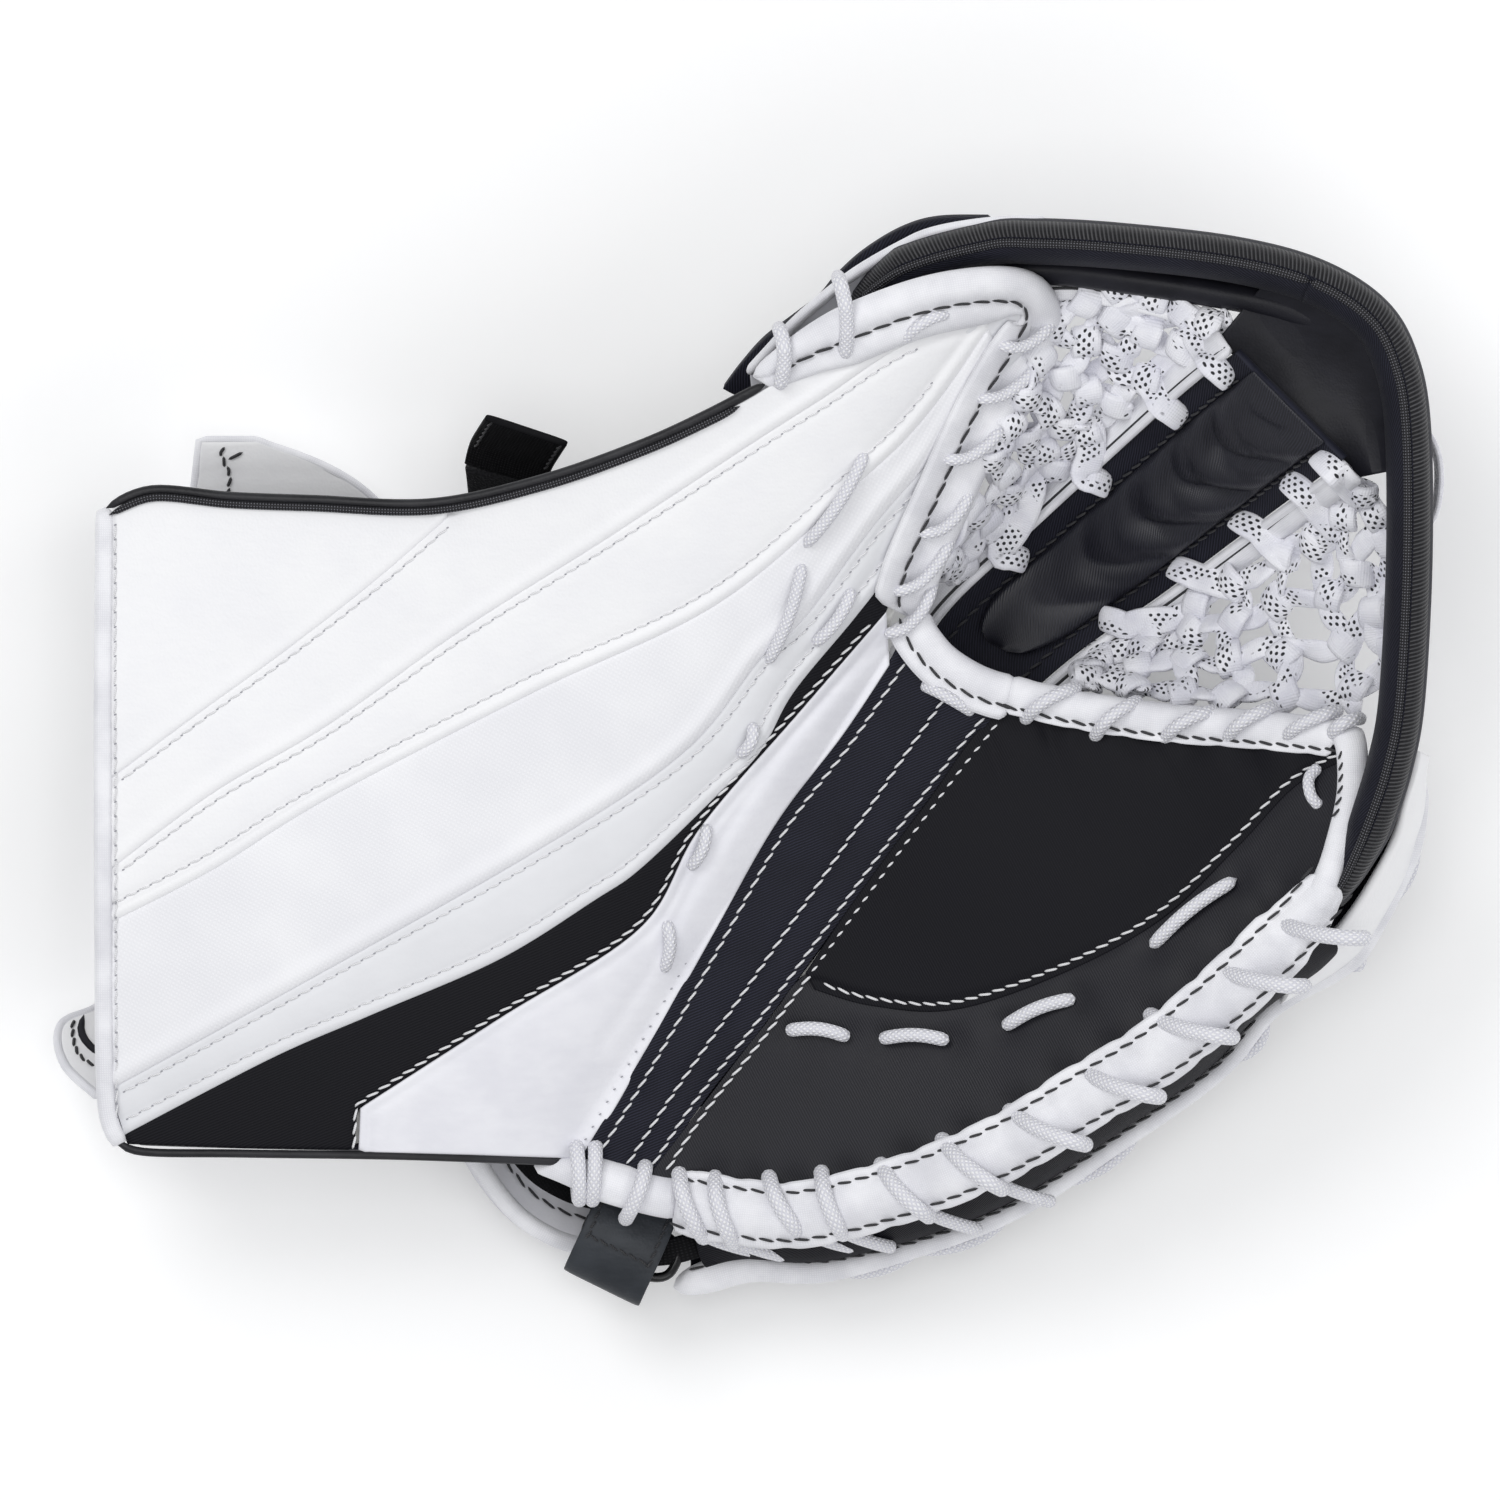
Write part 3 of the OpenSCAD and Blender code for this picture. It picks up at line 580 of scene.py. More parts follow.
def webbing(name):
    """Woven black strap: ribs across, with a fuzz of loops along them."""
    s = Shader(name, Specular_IOR_Level=0.12)
    ribs = s.times(s.wave(s.axis(s.uv, 0), 1.3e-3), s.wave(s.axis(s.uv, 1), 0.9e-3))
    fuzz = s.noise(2e-3, 4.0)
    return s.finish(s.tint(s.times(ribs, fuzz), (0.003, 0.003, 0.004),
                           (0.035, 0.035, 0.038)), ribs, 0.15e-3, (0.6, 0.8, fuzz))


def thread(name, dark, light):
    s = Shader(name, Sheen_Weight=0.1)
    ply = s.wave(s.slanted(s.uv, 35.0), 0.5e-3)
    return s.finish(s.tint(ply, dark, light), ply, 0.08e-3, (0.45, 0.6, s.noise(2e-3)))


def cellular(name, dark, light):
    """Closed-cell foam or moulded sheet, seen only at a cut edge."""
    s = Shader(name)
    cells = s.pebbles(1.2e-3)
    return s.finish(s.tint(cells, dark, light), cells, 0.1e-3, (0.7, 0.85, s.noise(8e-3)))


def wire(name):
    s = Shader(name, Metallic=0.6, Coat_Weight=0.3)
    scuff = s.noise(4e-3, 5.0, stretch=(3.0, 1.0, 1.0))
    return s.finish(s.tint(s.step(scuff, 0.62, 0.75), (0.012, 0.012, 0.013), (0.09, 0.09, 0.09)),
                    scuff, 0.03e-3, (0.2, 0.4, scuff))


WHITE = leather("white_leather", (0.85, 0.85, 0.87), (0.89, 0.89, 0.90))
WHITE_WOVEN = woven_leather("white_woven", (0.80, 0.80, 0.83), (0.88, 0.88, 0.90))
WHITE_SMOOTH = leather("white_smooth", (0.73, 0.735, 0.76), (0.77, 0.775, 0.80), 1.2e-3, 0.02e-3)
WHITE_STRIP = leather("white_strip", (0.76, 0.76, 0.81), (0.85, 0.85, 0.89), 1.0e-3, 0.03e-3)
BLACK = leather("black_leather", (0.007, 0.007, 0.010), (0.016, 0.016, 0.022), 0.7e-3, 0.04e-3,
                (0.36, 0.5), 0.2)
PALM = twill("palm_cloth", (0.003, 0.003, 0.005), (0.013, 0.013, 0.018), 28.0, 0.75e-3, 0.06e-3,
             sheen=0.01, shine=0.15)
PALM_SKIN = twill("palm_skin_cloth", (0.005, 0.005, 0.008), (0.026, 0.026, 0.034), 28.0, 0.75e-3,
                  0.06e-3, sheen=0.02, shine=0.28, rough=(0.38, 0.55))
QUILT = twill("quilted_twill", (0.003, 0.003, 0.006), (0.022, 0.023, 0.038), 60.0, 0.8e-3,
              0.10e-3, True, 0.02, 0.5, (0.30, 0.44))
WALL = twill("wall_twill", (0.003, 0.003, 0.005), (0.016, 0.016, 0.023), 60.0, on_uv=True,
             sheen=0.0, shine=0.1)
GREY = leather("grey_leather", (0.018, 0.021, 0.026), (0.04, 0.045, 0.053), 0.8e-3, 0.06e-3,
               shine=0.25)
TWILL = twill("black_twill", (0.004, 0.004, 0.007), (0.036, 0.038, 0.062))
TWILL_UV = twill("black_twill_uv", (0.004, 0.004, 0.007), (0.032, 0.034, 0.055), 60.0,
                 on_uv=True)
SIDE = twill("side_twill", (0.003, 0.003, 0.005), (0.012, 0.012, 0.016))
TAPE = tape("white_tape", (0.72, 0.72, 0.76), (0.88, 0.88, 0.91))
ROUND_LACE = braid("round_lace", (0.66, 0.66, 0.72), (0.95, 0.95, 0.97))
FLAT_LACE = dotted_lace("flat_lace")
RIBBED = grosgrain("ribbed_tape", (0.006, 0.006, 0.008), (0.085, 0.085, 0.09))
BEADED = knotted_cord("beaded_cord", (0.010, 0.010, 0.012), (0.17, 0.17, 0.19))
CLOTH = cloth("black_cloth", (0.005, 0.005, 0.006), (0.022, 0.022, 0.025))
HOOKS = hook_cloth("hook_and_loop")
WEBBING = webbing("black_webbing")
WHITE_THREAD = thread("white_thread", (0.62, 0.62, 0.64), (0.92, 0.92, 0.93))
BLACK_THREAD = thread("black_thread", (0.006, 0.006, 0.007), (0.035, 0.035, 0.04))
# grey of painted shade: the shadow inside the needle holes
HOLE_SHADE = thread("needle_hole_shade", (0.28, 0.28, 0.31), (0.42, 0.42, 0.46))
FOAM = cellular("board_foam", (0.55, 0.55, 0.53), (0.75, 0.75, 0.73))
PLASTIC = cellular("stiff_plastic", (0.12, 0.12, 0.12), (0.22, 0.22, 0.22))
WIRE = wire("black_wire")
PIPING = leather("black_piping", (0.010, 0.010, 0.012), (0.028, 0.028, 0.032), 0.6e-3, 0.06e-3,
                 shine=0.3)

# ---- plan lines: the CAD's, with a few ends moved a little nearer to the photo ----
TOP_EDGE = [[-188, 77], [-176, 81], [-153, 79], [-128, 78], [-92, 77], [-59, 84], [-30, 94],
            [-10, 103], [7, 112], [24, 122], [44, 131], [61, 136.5], [76, 138]]
SEAM_LINES = {
    1: [[-189, -4], [-162, 16], [-137, 34], [-110, 55], [-88, 74]],
    2: [[-189, -31], [-158, -8], [-124, 12], [-83, 41], [-40, 68], [6, 98], [25, 110], [48, 125],
        [73, 134]],
    3: [[-189, -47], [-158, -31], [-124, -10], [-62, 22], [-6, 49], [37, 86], [55, 104],
        [75, 131]],
    4: [[-189, -97], [-140, -70], [-62, -26], [-17, 4], [6, 32], [19, 44], [40, 72], [60, 96],
        [76, 126]],
    5: [[-185, -111], [-141, -88], [-111, -75], [-72, -58], [-43, -40], [-30, -31], [-8, -10],
        [6, 4], [16, 22], [35, 45], [51, 66], [60, 83], [70, 107], [79, 123]],
}
PATCH_EDGE = [[-114, -103], [-72, -76], [-30, -49], [-12, -19], [18, 16], [44, 46]]
BREAK_LINE = [[-46, -118], [-27, -85], [-8, -51], [11, -17.5], [31, 9], [45, 30]]
THUMB_ROLL = [[4, 116], [22, 128], [42, 137], [60, 142.5], [78, 144.5], [88, 142], [92, 134],
              [89, 125], [84, 116], [78, 106], [72, 94], [65.5, 79], [60, 67], [55.5, 56],
              [52, 44]]
GUSSET_A = [[-47.5, -121.5]] + [[x + 1.2, y - 0.5] for x, y in BREAK_LINE[1:]] + [[50, 37]]
GUSSET_M = [[-35.5, -123], [-20, -99], [5, -63], [29, -28], [47, -1], [65, 25]]
GUSSET_B = [[-26, -124.5], [-12, -103], [9, -76], [44, -28], [64, -1], [81.5, 21]]
PATCH_IN = [[21, -63.5], [34, -44], [56, -14], [80.5, 16], [107, 10.5], [150, 6], [181, 4.5]]
PATCH_OUT = [[22.5, -67], [40, -72], [65, -73], [97, -62], [126, -46], [149, -24], [166, -6],
             [182, 2.5]]
SKIN_OUT = [[-22, -128], [0, -127.5], [17, -128], [45, -120.5], [74, -109], [121, -80],
            [158, -47], [180, -24]]
ROLL_PATH = [[-20, -131], [-4, -134], [18, -135.5], [48, -128], [78, -115.5], [102, -100.5],
             [126, -85.5], [147, -67.5], [165, -49.5], [172, -41]]
POCKET_PATH = [[80, 23], [92, 20], [107, 17], [129, 14], [155, 12], [180, 9.5]]

# ---- thumb and cuff half: five stitched bands ----
# each seam: ridge place, ridge width, ridge height, stitch place (left is +)
RIDGES = {1: (1.4, 1.5, 0.7, -2.6), 2: (1.6, 1.9, 1.0, -2.8), 3: (1.5, 1.6, 0.9, 4.4),
          4: (2.3, 2.5, 1.5, -3.0), 5: (1.6, 1.6, 0.8, 3.6)}
SEAMS = {k: (spaced(line, 4), *RIDGES[k]) for k, line in SEAM_LINES.items()}
UNDERLAP = 1.8  # how far one band reaches under the next


def band_height(over, under):
    """Height of a cuff band that laps over one seam and slides under another."""
    def height(p):
        z = thumb_z(p) - 0.8 + 0.12 * np.sin(p[..., 0] / 17) * np.sin(p[..., 1] / 13)
        near = np.full(p.shape[:-1], 60.0)
        if over:
            line, place, width, rise, stitch = SEAMS[over]
            d = signed_distance(p, line)
            near = np.minimum(near, np.abs(d))
            z = z + rise * np.exp(-((d - place) / width) ** 2)
            if stitch > 0:
                z = z - 0.55 * np.exp(-((d - stitch) / 1.0) ** 2)
        if under:
            line, place, width, rise, stitch = SEAMS[under]
            d = -signed_distance(p, line)
            near = np.minimum(near, np.abs(d))
            z = z - 1.5 * smooth((1.2 - d) / 3.0)
            if stitch < 0:
                z = z - 0.5 * np.exp(-((d + stitch) / 1.0) ** 2)
        return z + 0.9 * (1 - np.exp(-near / 9))
    return height


def cuff_band(name, upper, lower, over, under, material, across=30):
    n = int(lengths(lower)[-1] / 2.4)
    rings = sheet_between(even(upper, n), even(lower, n), across, band_height(over, under), 2.2,
                          0.7)
    piece(name, rings, material, "thumb_half")


def cuff_bands():
    """The five bands, with the thread of their seams and painted shade at its needle holes."""
    under = {k: offset(spaced(SEAM_LINES[k], 2), UNDERLAP) for k in (1, 2, 3, 4)}
    lap = {k: offset(spaced(points, 2), -0.35) for k, points in SEAM_LINES.items()}
    cuff_band("cuff_band_a", spline(TOP_EDGE, np.linspace(0, 4.14, 60)), lap[1], 1, None, WHITE)
    beyond = spline(TOP_EDGE, np.linspace(4.1, 11.6, 126))
    cuff_band("cuff_band_b", np.concatenate([under[1], beyond]), lap[2], 2, 1, WHITE, 36)
    cuff_band("cuff_band_c", under[2], lap[3], 3, 2, WHITE)
    cuff_band("cuff_band_d", under[3], lap[4], 4, 3, WHITE_WOVEN, 34)
    cuff_band("cuff_band_e", under[4], lap[5], 5, 4, WHITE_SMOOTH, 26)
    rows, marks = [], []
    for k, (_, _, _, stitch) in RIDGES.items():
        path = offset(spaced(SEAM_LINES[k], 1.5), stitch)
        path = path[2:int(len(path) * (0.93 if k in (2, 3, 4) else 0.99))]
        height = band_height(k, None) if stitch > 0 else band_height(None, k)
        laid = lay(height, path, 0.05)
        rows += stitches(laid, thick=0.6, lift=0.05)
        marks += hole_shade_dots(laid)
    left = np.column_stack([np.full(60, -187.2), np.linspace(72, -106, 60)])
    laid = lay(thumb_z, left, 0.1)
    rows += stitches(laid, thick=0.6, lift=0.05)
    marks += hole_shade_dots(laid)
    piece("cuff_seam_stitches", rows, WHITE_THREAD, "thumb_half")
    piece("cuff_hole_shade_dots", marks, HOLE_SHADE, "thumb_half")


def below(path, drop):
    """A side panel's height: a little under the band that laps over it."""
    def height(p):
        d = -signed_distance(p, path)
        return thumb_z(p) - drop - 0.9 * smooth((1.5 - d) / 4)
    return height


def run(points, n):
    """n + 1 points along straight lines between the given ones."""
    return even(np.asarray(points, float), n)


def cuff_sides():
    """The black side panel and the white patch, with the patch's thread and painted shade at its
    needle holes.
    """
    seam = spaced(SEAM_LINES[5], 2)
    upper = offset(spaced(SEAM_LINES[5][:12], 2), UNDERLAP)
    lower = np.concatenate([run([[-184, -114], [-150, -115.2], [-116, -115.8]], 30),
                            run([[-115, -104.5], [-114, -103]], 2),
                            curve(PATCH_EDGE, 90)])
    rings = sheet_between(even(upper, 150), even(lower, 150), 22, below(seam, 0.6), 2.0)
    piece("cuff_side_panel", rings, SIDE, "thumb_half")
    edge = np.concatenate([run([[-114.6, -115.6], [-114, -103]], 8), curve(PATCH_EDGE, 100)[1:]])
    lower = np.concatenate([run([[-112.5, -116.4], [-80, -117.4], [-50, -118.6]], 60),
                            curve(BREAK_LINE, 100)])
    fold = spaced([[-42, -85], [-27, -62], [-12, -33], [8, -2], [28, 22], [44, 38]], 2)

    def patch_height(p):
        d = signed_distance(p, fold)
        rim = np.abs(signed_distance(p, edge))
        return (thumb_z(p) + 0.2 - 0.5 * np.exp(-((rim - 3) / 1.0) ** 2)
                - 0.5 * np.exp(-(d / 1.6) ** 2) + 1.4 * smooth((4 - d) / 9)
                * smooth((along(p) - 30) / 60))
    rings = sheet_between(even(edge, 150), even(lower, 150), 26, patch_height, 2.2)
    piece("cuff_patch", rings, WHITE_STRIP, "thumb_half")
    inner = even(edge, 200)
    outside = offset(inner, 1.4)
    rows = stitches(lay(thumb_z, outside[:196], -0.2))
    piece("patch_stitches", rows, WHITE_THREAD, "thumb_half")
    marks = hole_shade_dots(lay(thumb_z, offset(spaced(BREAK_LINE, 2), 3.0), 0.9))
    piece("break_hole_shade_dots", marks, HOLE_SHADE, "thumb_half")


def cuff_edges():
    """The end binding, the two pipings, a flange and the wrap round the cuff's edges."""
    ends = lay(thumb_z, spaced([[-190.4, 76], [-190.9, 20], [-190.9, -50], [-190.4, -100],
                                [-186.6, -113]], 3), -7.2)
    ends = np.concatenate([ends[:1] + [0, 1.5, 0], ends, ends[-1:] + [0.6, -1.5, 0]])
    binding = skin(swept(ends, oval(5.8, 17.6, 24, 0.45), scale=round_ends(len(ends), 2)))
    piece("cuff_end_binding", binding, TAPE, "thumb_half")
    top = spaced([[-190, 77], [-176, 82.4], [-153, 80.4], [-128, 79.4], [-92, 78.4],
                  [-59, 85.5], [-30, 95.6], [-10, 104.6], [8, 114]], 2.5)
    bottom = spaced([[-188, -112], [-180, -116.2], [-150, -116.8], [-100, -117.6],
                     [-49, -119.8]], 2.5)
    for name, path, d in (("cuff_top_piping", top, 3.2), ("cuff_bottom_piping", bottom, 2.6)):
        piece(name, rod(lay(thumb_z, path, -0.9), d, sides=12), PIPING, "thumb_half")
    flange = lay(thumb_z, spaced(offset(top, -2.3), 2.5)[:-4], 0.7)
    piece("cuff_piping_flange", rod(flange, 2.4, 2.0, 10), BEADED, "thumb_half")
    outline = [[-187, 75], [-128, 76], [-92, 75], [-70, 78], [-56, 82.5], [-43, 86.5],
               [-24, 94], [7, 109], [34, 124], [60, 133], [76, 135]]
    lower = [[-183, -112], [-150, -113], [-100, -114], [-75, -114.5], [-52, -113.5],
             [-31, -82], [-12, -51], [7.5, -16.5], [27, 9.5], [41, 31]]
    wraps = [(spaced(outline, 3), 1.6), (spaced(lower, 3), -1.2)]
    parts = [skin(swept(lay(thumb_z, offset(path, d), -8.8), oval(2.4, 14.4, 16, 0.7),
                        scale=round_ends(len(path), 1.5)))
             for path, d in wraps]
    piece("cuff_edge_wrap", parts, TWILL_UV, "thumb_half")


# ---- rolled edges: a round roll, with a flange on its left that is sewn down ----
TEARDROP = [(-9.6, 2.5), (-7.6, 3.1), (-6.1, 3.0), (-5.2, 2.65), (-4.3, 3.2), (-2.4, 4.1),
            (0, 4.4), (2.2, 3.9), (3.8, 2.5), (4.5, 0.2), (3.9, -2.2), (2.0, -4.0),
            (-0.4, -4.3), (-3.0, -3.4), (-4.6, -1.2), (-7.0, 0.9), (-9.4, 1.5)]


def flipped(section):
    """The same section with its flange on the other side."""
    return [(-x, y) for x, y in section]


def pinched(n, turns, depth, phase=0.0):
    """A sweep's scale: drawn in where a lace crosses, full in between."""
    f = np.linspace(0, turns, n) + phase
    return 1 - depth * np.exp(-((f - np.round(f)) / 0.16) ** 2)


THUMB_SECTION = [(4.4, 3.2), (2.4, 4.1), (0, 4.4), (-2.2, 3.9), (-3.8, 2.5), (-4.5, 0.2),
                 (-3.9, -2.2), (-2.0, -4.0), (0.4, -4.3), (3.0, -3.4), (4.6, -1.2), (7.0, 0.4),
                 (10.0, 1.2), (13.2, 1.8), (13.4, 3.0), (11.0, 3.9), (8.6, 3.7), (7.0, 3.0),
                 (6.0, 2.7), (5.2, 2.75)]


def thumb_edge():
    """The roll round the thumb; its flange lies over the ends of the cuff bands."""
    path = spaced(THUMB_ROLL, 2.2)
    base = lay(thumb_z, path, -1.5)
    scale = round_ends(len(base), 3) * np.interp(lengths(path), [0, 30], [0.45, 1.0])
    rings = swept(base, THUMB_SECTION, scale=scale)
    bend = np.exp(-((lengths(path) - 92) / 13) ** 2)[:, None]
    reach = np.array(THUMB_SECTION)[:, 0]
    s, _ = side_frame(base)
    pull = np.maximum(reach - 6.5, 0) * 0.75 * bend * scale[:, None]
    rings = rings - s[:, None] * pull[..., None]
    climb = thumb_z(rings[..., :2]) - thumb_z(base[:, :2])[:, None]
    rings[..., 2] += climb * smooth((reach - 3) / 3.5)
    piece("thumb_edge_roll", rings, TAPE, "thumb_half")
    line = lay(thumb_z, base[:, :2] + s[:, :2] * 6.0 * scale[:, None], 1.35)
    rows = stitches(line[3:-1], pitch=6.2, fill=0.99, slant=0.3, thick=1.0, lift=0.35)
    piece("thumb_roll_stitches", rows, BLACK_THREAD, "thumb_half")
    outer = curve([[30, 124], [48, 134], [66, 140], [80, 141], [88, 136]], 60)
    inner = curve([[44, 58], [56, 80], [68, 102], [78, 116], [86, 124]], 60)
    rings = sheet_between(outer, inner, 20,
                          lambda p: thumb_z(p) - 1.9 + 1.6 * smooth((p[..., 0] - 62) / 14), 1.0)
    piece("thumb_tip_panel", rings, WHITE_SMOOTH, "thumb_half")


def face_stitch(height, a, b, thick, rise=2.6):
    """A lace stitch that leaves the face at a and goes back in at b."""
    a, b = np.asarray(a, float), np.asarray(b, float)
    f = np.linspace(0, 1, 17)[:, None]
    flat = a + (b - a) * f
    t = unit(b - a)
    bow = np.array([-t[1], t[0]]) * np.sin(math.pi * f) * 1.6
    lift = -2 + (rise + 2) * np.sin(math.pi * f[:, 0]) ** 0.5
    return rod(lay(height, flat + bow, lift), thick, nose=2)


THUMB_STITCHES = [([48.5, 126.5], [63, 135]), ([38, 94], [19, 65]), ([19, 61], [8, 30]),
                  ([34, 53], [22, 36]), ([4, 12], [0, 3]), ([-10, -18], [-15, -31]),
                  ([-22, -47], [-23, -62])]
PALM_STITCHES = [([14, -80], [33, -82]), ([42, -82.5], [63, -83]), ([79, -79], [101, -70]),
                 ([123, -55], [149, -34])]
THUMB_LOOPS = [([77.7, 126.3], [93.9, 134.4]), ([71.4, 110.1], [90.9, 124.5]),
               ([61.2, 92.1], [79.5, 104.4]), ([54.3, 69.9], [68.7, 84]),
               ([46.5, 52.5], [63, 70.2]), ([43.8, 39.9], [57.6, 56])]


def over_roll(height, a, b, stops, thick, bow):
    """A lace along a to b over a roll. stops: share of the way, lift, share of the bow."""
    a, b = np.asarray(a, float), np.asarray(b, float)
    t = unit(b - a)
    side = np.array([-t[1], t[0]]) * bow
    points = []
    for f, lift, lean in stops:
        flat = a + (b - a) * f + side * lean
        points.append([*flat, height(flat) + lift])
    return rod(even(curve(points, 40), 30), thick, nose=3)


LOOP_STOPS = ((-0.02, -1.0, 0.0), (0.06, 2.6, 0.4), (0.26, 4.6, 0.95), (0.55, 5.6, 1.0),
              (0.8, 5.0, 0.7), (0.97, 0.6, 0.25), (1.0, -5.0, 0.0))
THUMB_WRAPS = [([31.5, 121.8], [29, 147]), ([12, 113], [11.5, 131.5])]


def thumb_lacing():
    """The laces over the thumb's roll, and those through its face."""
    loops = [over_roll(thumb_z, a, b, LOOP_STOPS, 3.7, -4.2) for a, b in THUMB_LOOPS]
    piece("thumb_edge_lacing", loops, ROUND_LACE, "thumb_half")
    parts = [face_stitch(thumb_z, a, b, 3.9) for a, b in THUMB_STITCHES]
    f = np.linspace(0, 1, 25)
    lift = np.interp(f, [0, 0.06, 0.3, 0.62, 0.86, 1], [-3, 1.8, 3.8, 4.3, 1.0, -14])
    for a, b in np.array(THUMB_WRAPS, float):
        flat = a + (b - a) * f[:, None]
        flat[:, 0] += 1.6 * np.sin(math.pi * f)
        parts.append(rod(lay(thumb_z, flat, lift), 4.6, nose=2))
    piece("thumb_face_lacing", parts, ROUND_LACE, "thumb_half")


# ---- spine: gusset, heel, T ----
def gusset_height(p):
    """The fold's face, creased on the slant near the heel."""
    s, out = along(p), out_finger(p)
    crease = np.sin(s / 8 + out / 6) + 0.6 * np.sin(s / 4.3 - out / 4)
    return palm_z(p) + 0.75 * crease * np.exp(-((s - 25) / 60) ** 2) - 0.3


def gusset():
    """The two quilted strips that the glove folds along, and their three seams."""
    a = offset(spaced(GUSSET_A, 2), 2.0)
    m = spaced(GUSSET_M, 2)
    b = spaced(GUSSET_B, 2)
    lines = [offset(a, -4.2), m, offset(b, 2.2)]

    def height(p):
        z = gusset_height(p) - 1.2 * smooth(-(signed_distance(p, a) + 4) / 3 + 1) * 0.5
        for line in lines:
            z = z - 0.9 * np.exp(-(signed_distance(p, line) / 1.8) ** 2)
        return z + 0.9
    n = 90
    for name, left, right in (("gusset_strip_a", a, m), ("gusset_strip_b", m, b)):
        rings = sheet_between(even(left, n), even(right, n), 16, height, 2.2, 0.3)
        piece(name, rings, TWILL, "spine")
    rows = []
    for line in lines:
        rows += stitches(lay(height, even(line, 120)[2:-1], 0.1))
    piece("gusset_stitches", rows, WHITE_THREAD, "spine")


def gusset_ends():
    """The white roll at each end of the fold, and the lace knot on the heel's."""
    top = lay(palm_z, spaced([[52.5, 46], [55, 40], [61, 32.5], [69, 27], [76, 24],
                              [83, 22.3]], 1.5), -1)
    piece("gusset_top_binding", swept(top, flipped(TEARDROP), scale=round_ends(len(top), 2)), TAPE,
          "spine")
    s, _ = side_frame(top)
    rows = stitches(top + s * 5.2 + [0, 0, 2.8], pitch=5.2, fill=0.94, thick=1.0)
    piece("gusset_top_stitches", rows, BLACK_THREAD, "spine")
    heel = lay(palm_z, spaced([[-62, -120.8], [-53, -122.2], [-45, -124], [-34, -127.3],
                               [-24, -129.8], [-18, -130.6]], 1.5), -1.5)
    thin = np.interp(lengths(heel), [0, 20], [0.3, 1.0]) * round_ends(len(heel), 1.5)
    piece("heel_roll", swept(heel, oval(13, 11, 24), scale=thin), TAPE, "spine")
    loops = []
    for x, lean in ((-48.8, -0.5), (-44.0, 0.4)):
        q = np.linspace(0, 2 * math.pi, 29)[:-1]
        c = lay(palm_z, [[x, -122.9]], -1.5)
        ring = c + np.stack([lean * np.cos(q) + 0.4 * np.sin(q), 8.2 * np.cos(q),
                             7.4 * np.sin(q)], 1)
        loops.append(skin(swept(ring, oval(4.6, 4.6, 12), up=(1, 0, 0)), wrap_u=True))
    stops = ((-0.02, -3.0, 0.0), (0.1, 3.0, 0.6), (0.4, 6.2, 1.0), (0.75, 4.0, 0.7),
             (0.95, -2.4, 0.25), (1.0, -7.0, 0.0))
    loops.append(over_roll(palm_z, [-28.6, -120.6], [-34.6, -137], stops, 4.8, 1.0))
    piece("heel_knot", loops, ROUND_LACE, "spine")


T_LEFT = [[50, 25, 55], [62, 45, 47], [86, 68, 52], [112, 92, 76], [134, 112, 104],
          [148, 123, 126]]
T_RIGHT = [[76, 11, 52], [101, 33, 42], [128, 52, 50], [152, 70, 76], [168, 82, 104],
           [180, 91, 128]]


def t_wrinkle(u, v):
    """Cross wrinkles of the quilted pad, deepest up its middle."""
    depth = np.exp(-((u - 0.66) / 0.36) ** 2) * np.sin(math.pi * np.clip(v, 0, 1)) ** 0.6
    bowed = u - 0.09 * (2 * v - 1) ** 2
    fold = np.abs(np.sin(20 * bowed + 0.5 * np.sin(4.5 * v + 0.6) + 0.3)) ** 0.8
    second = np.abs(np.sin(33 * bowed + 1.6 * v)) ** 0.8
    return depth * (1.3 * fold + 0.4 * second - 1.2)


T_SAG = 5


def pad_nose(u):
    """Rounds the pad's lower end: 0 at the tip, 1 past its reach."""
    reach = 0.13
    return np.sqrt(np.clip(1 - ((reach - u) / reach).clip(0, 1) ** 2, 0, 1))


def t_relief(u, v):
    side = np.clip(1 - np.abs(2 * v - 1) ** 4, 0, 1) ** 0.5
    return (3.4 * pad_nose(u) * side + t_wrinkle(u, v) * 3.8) * smooth((1 - u) / 0.08) + 0.2


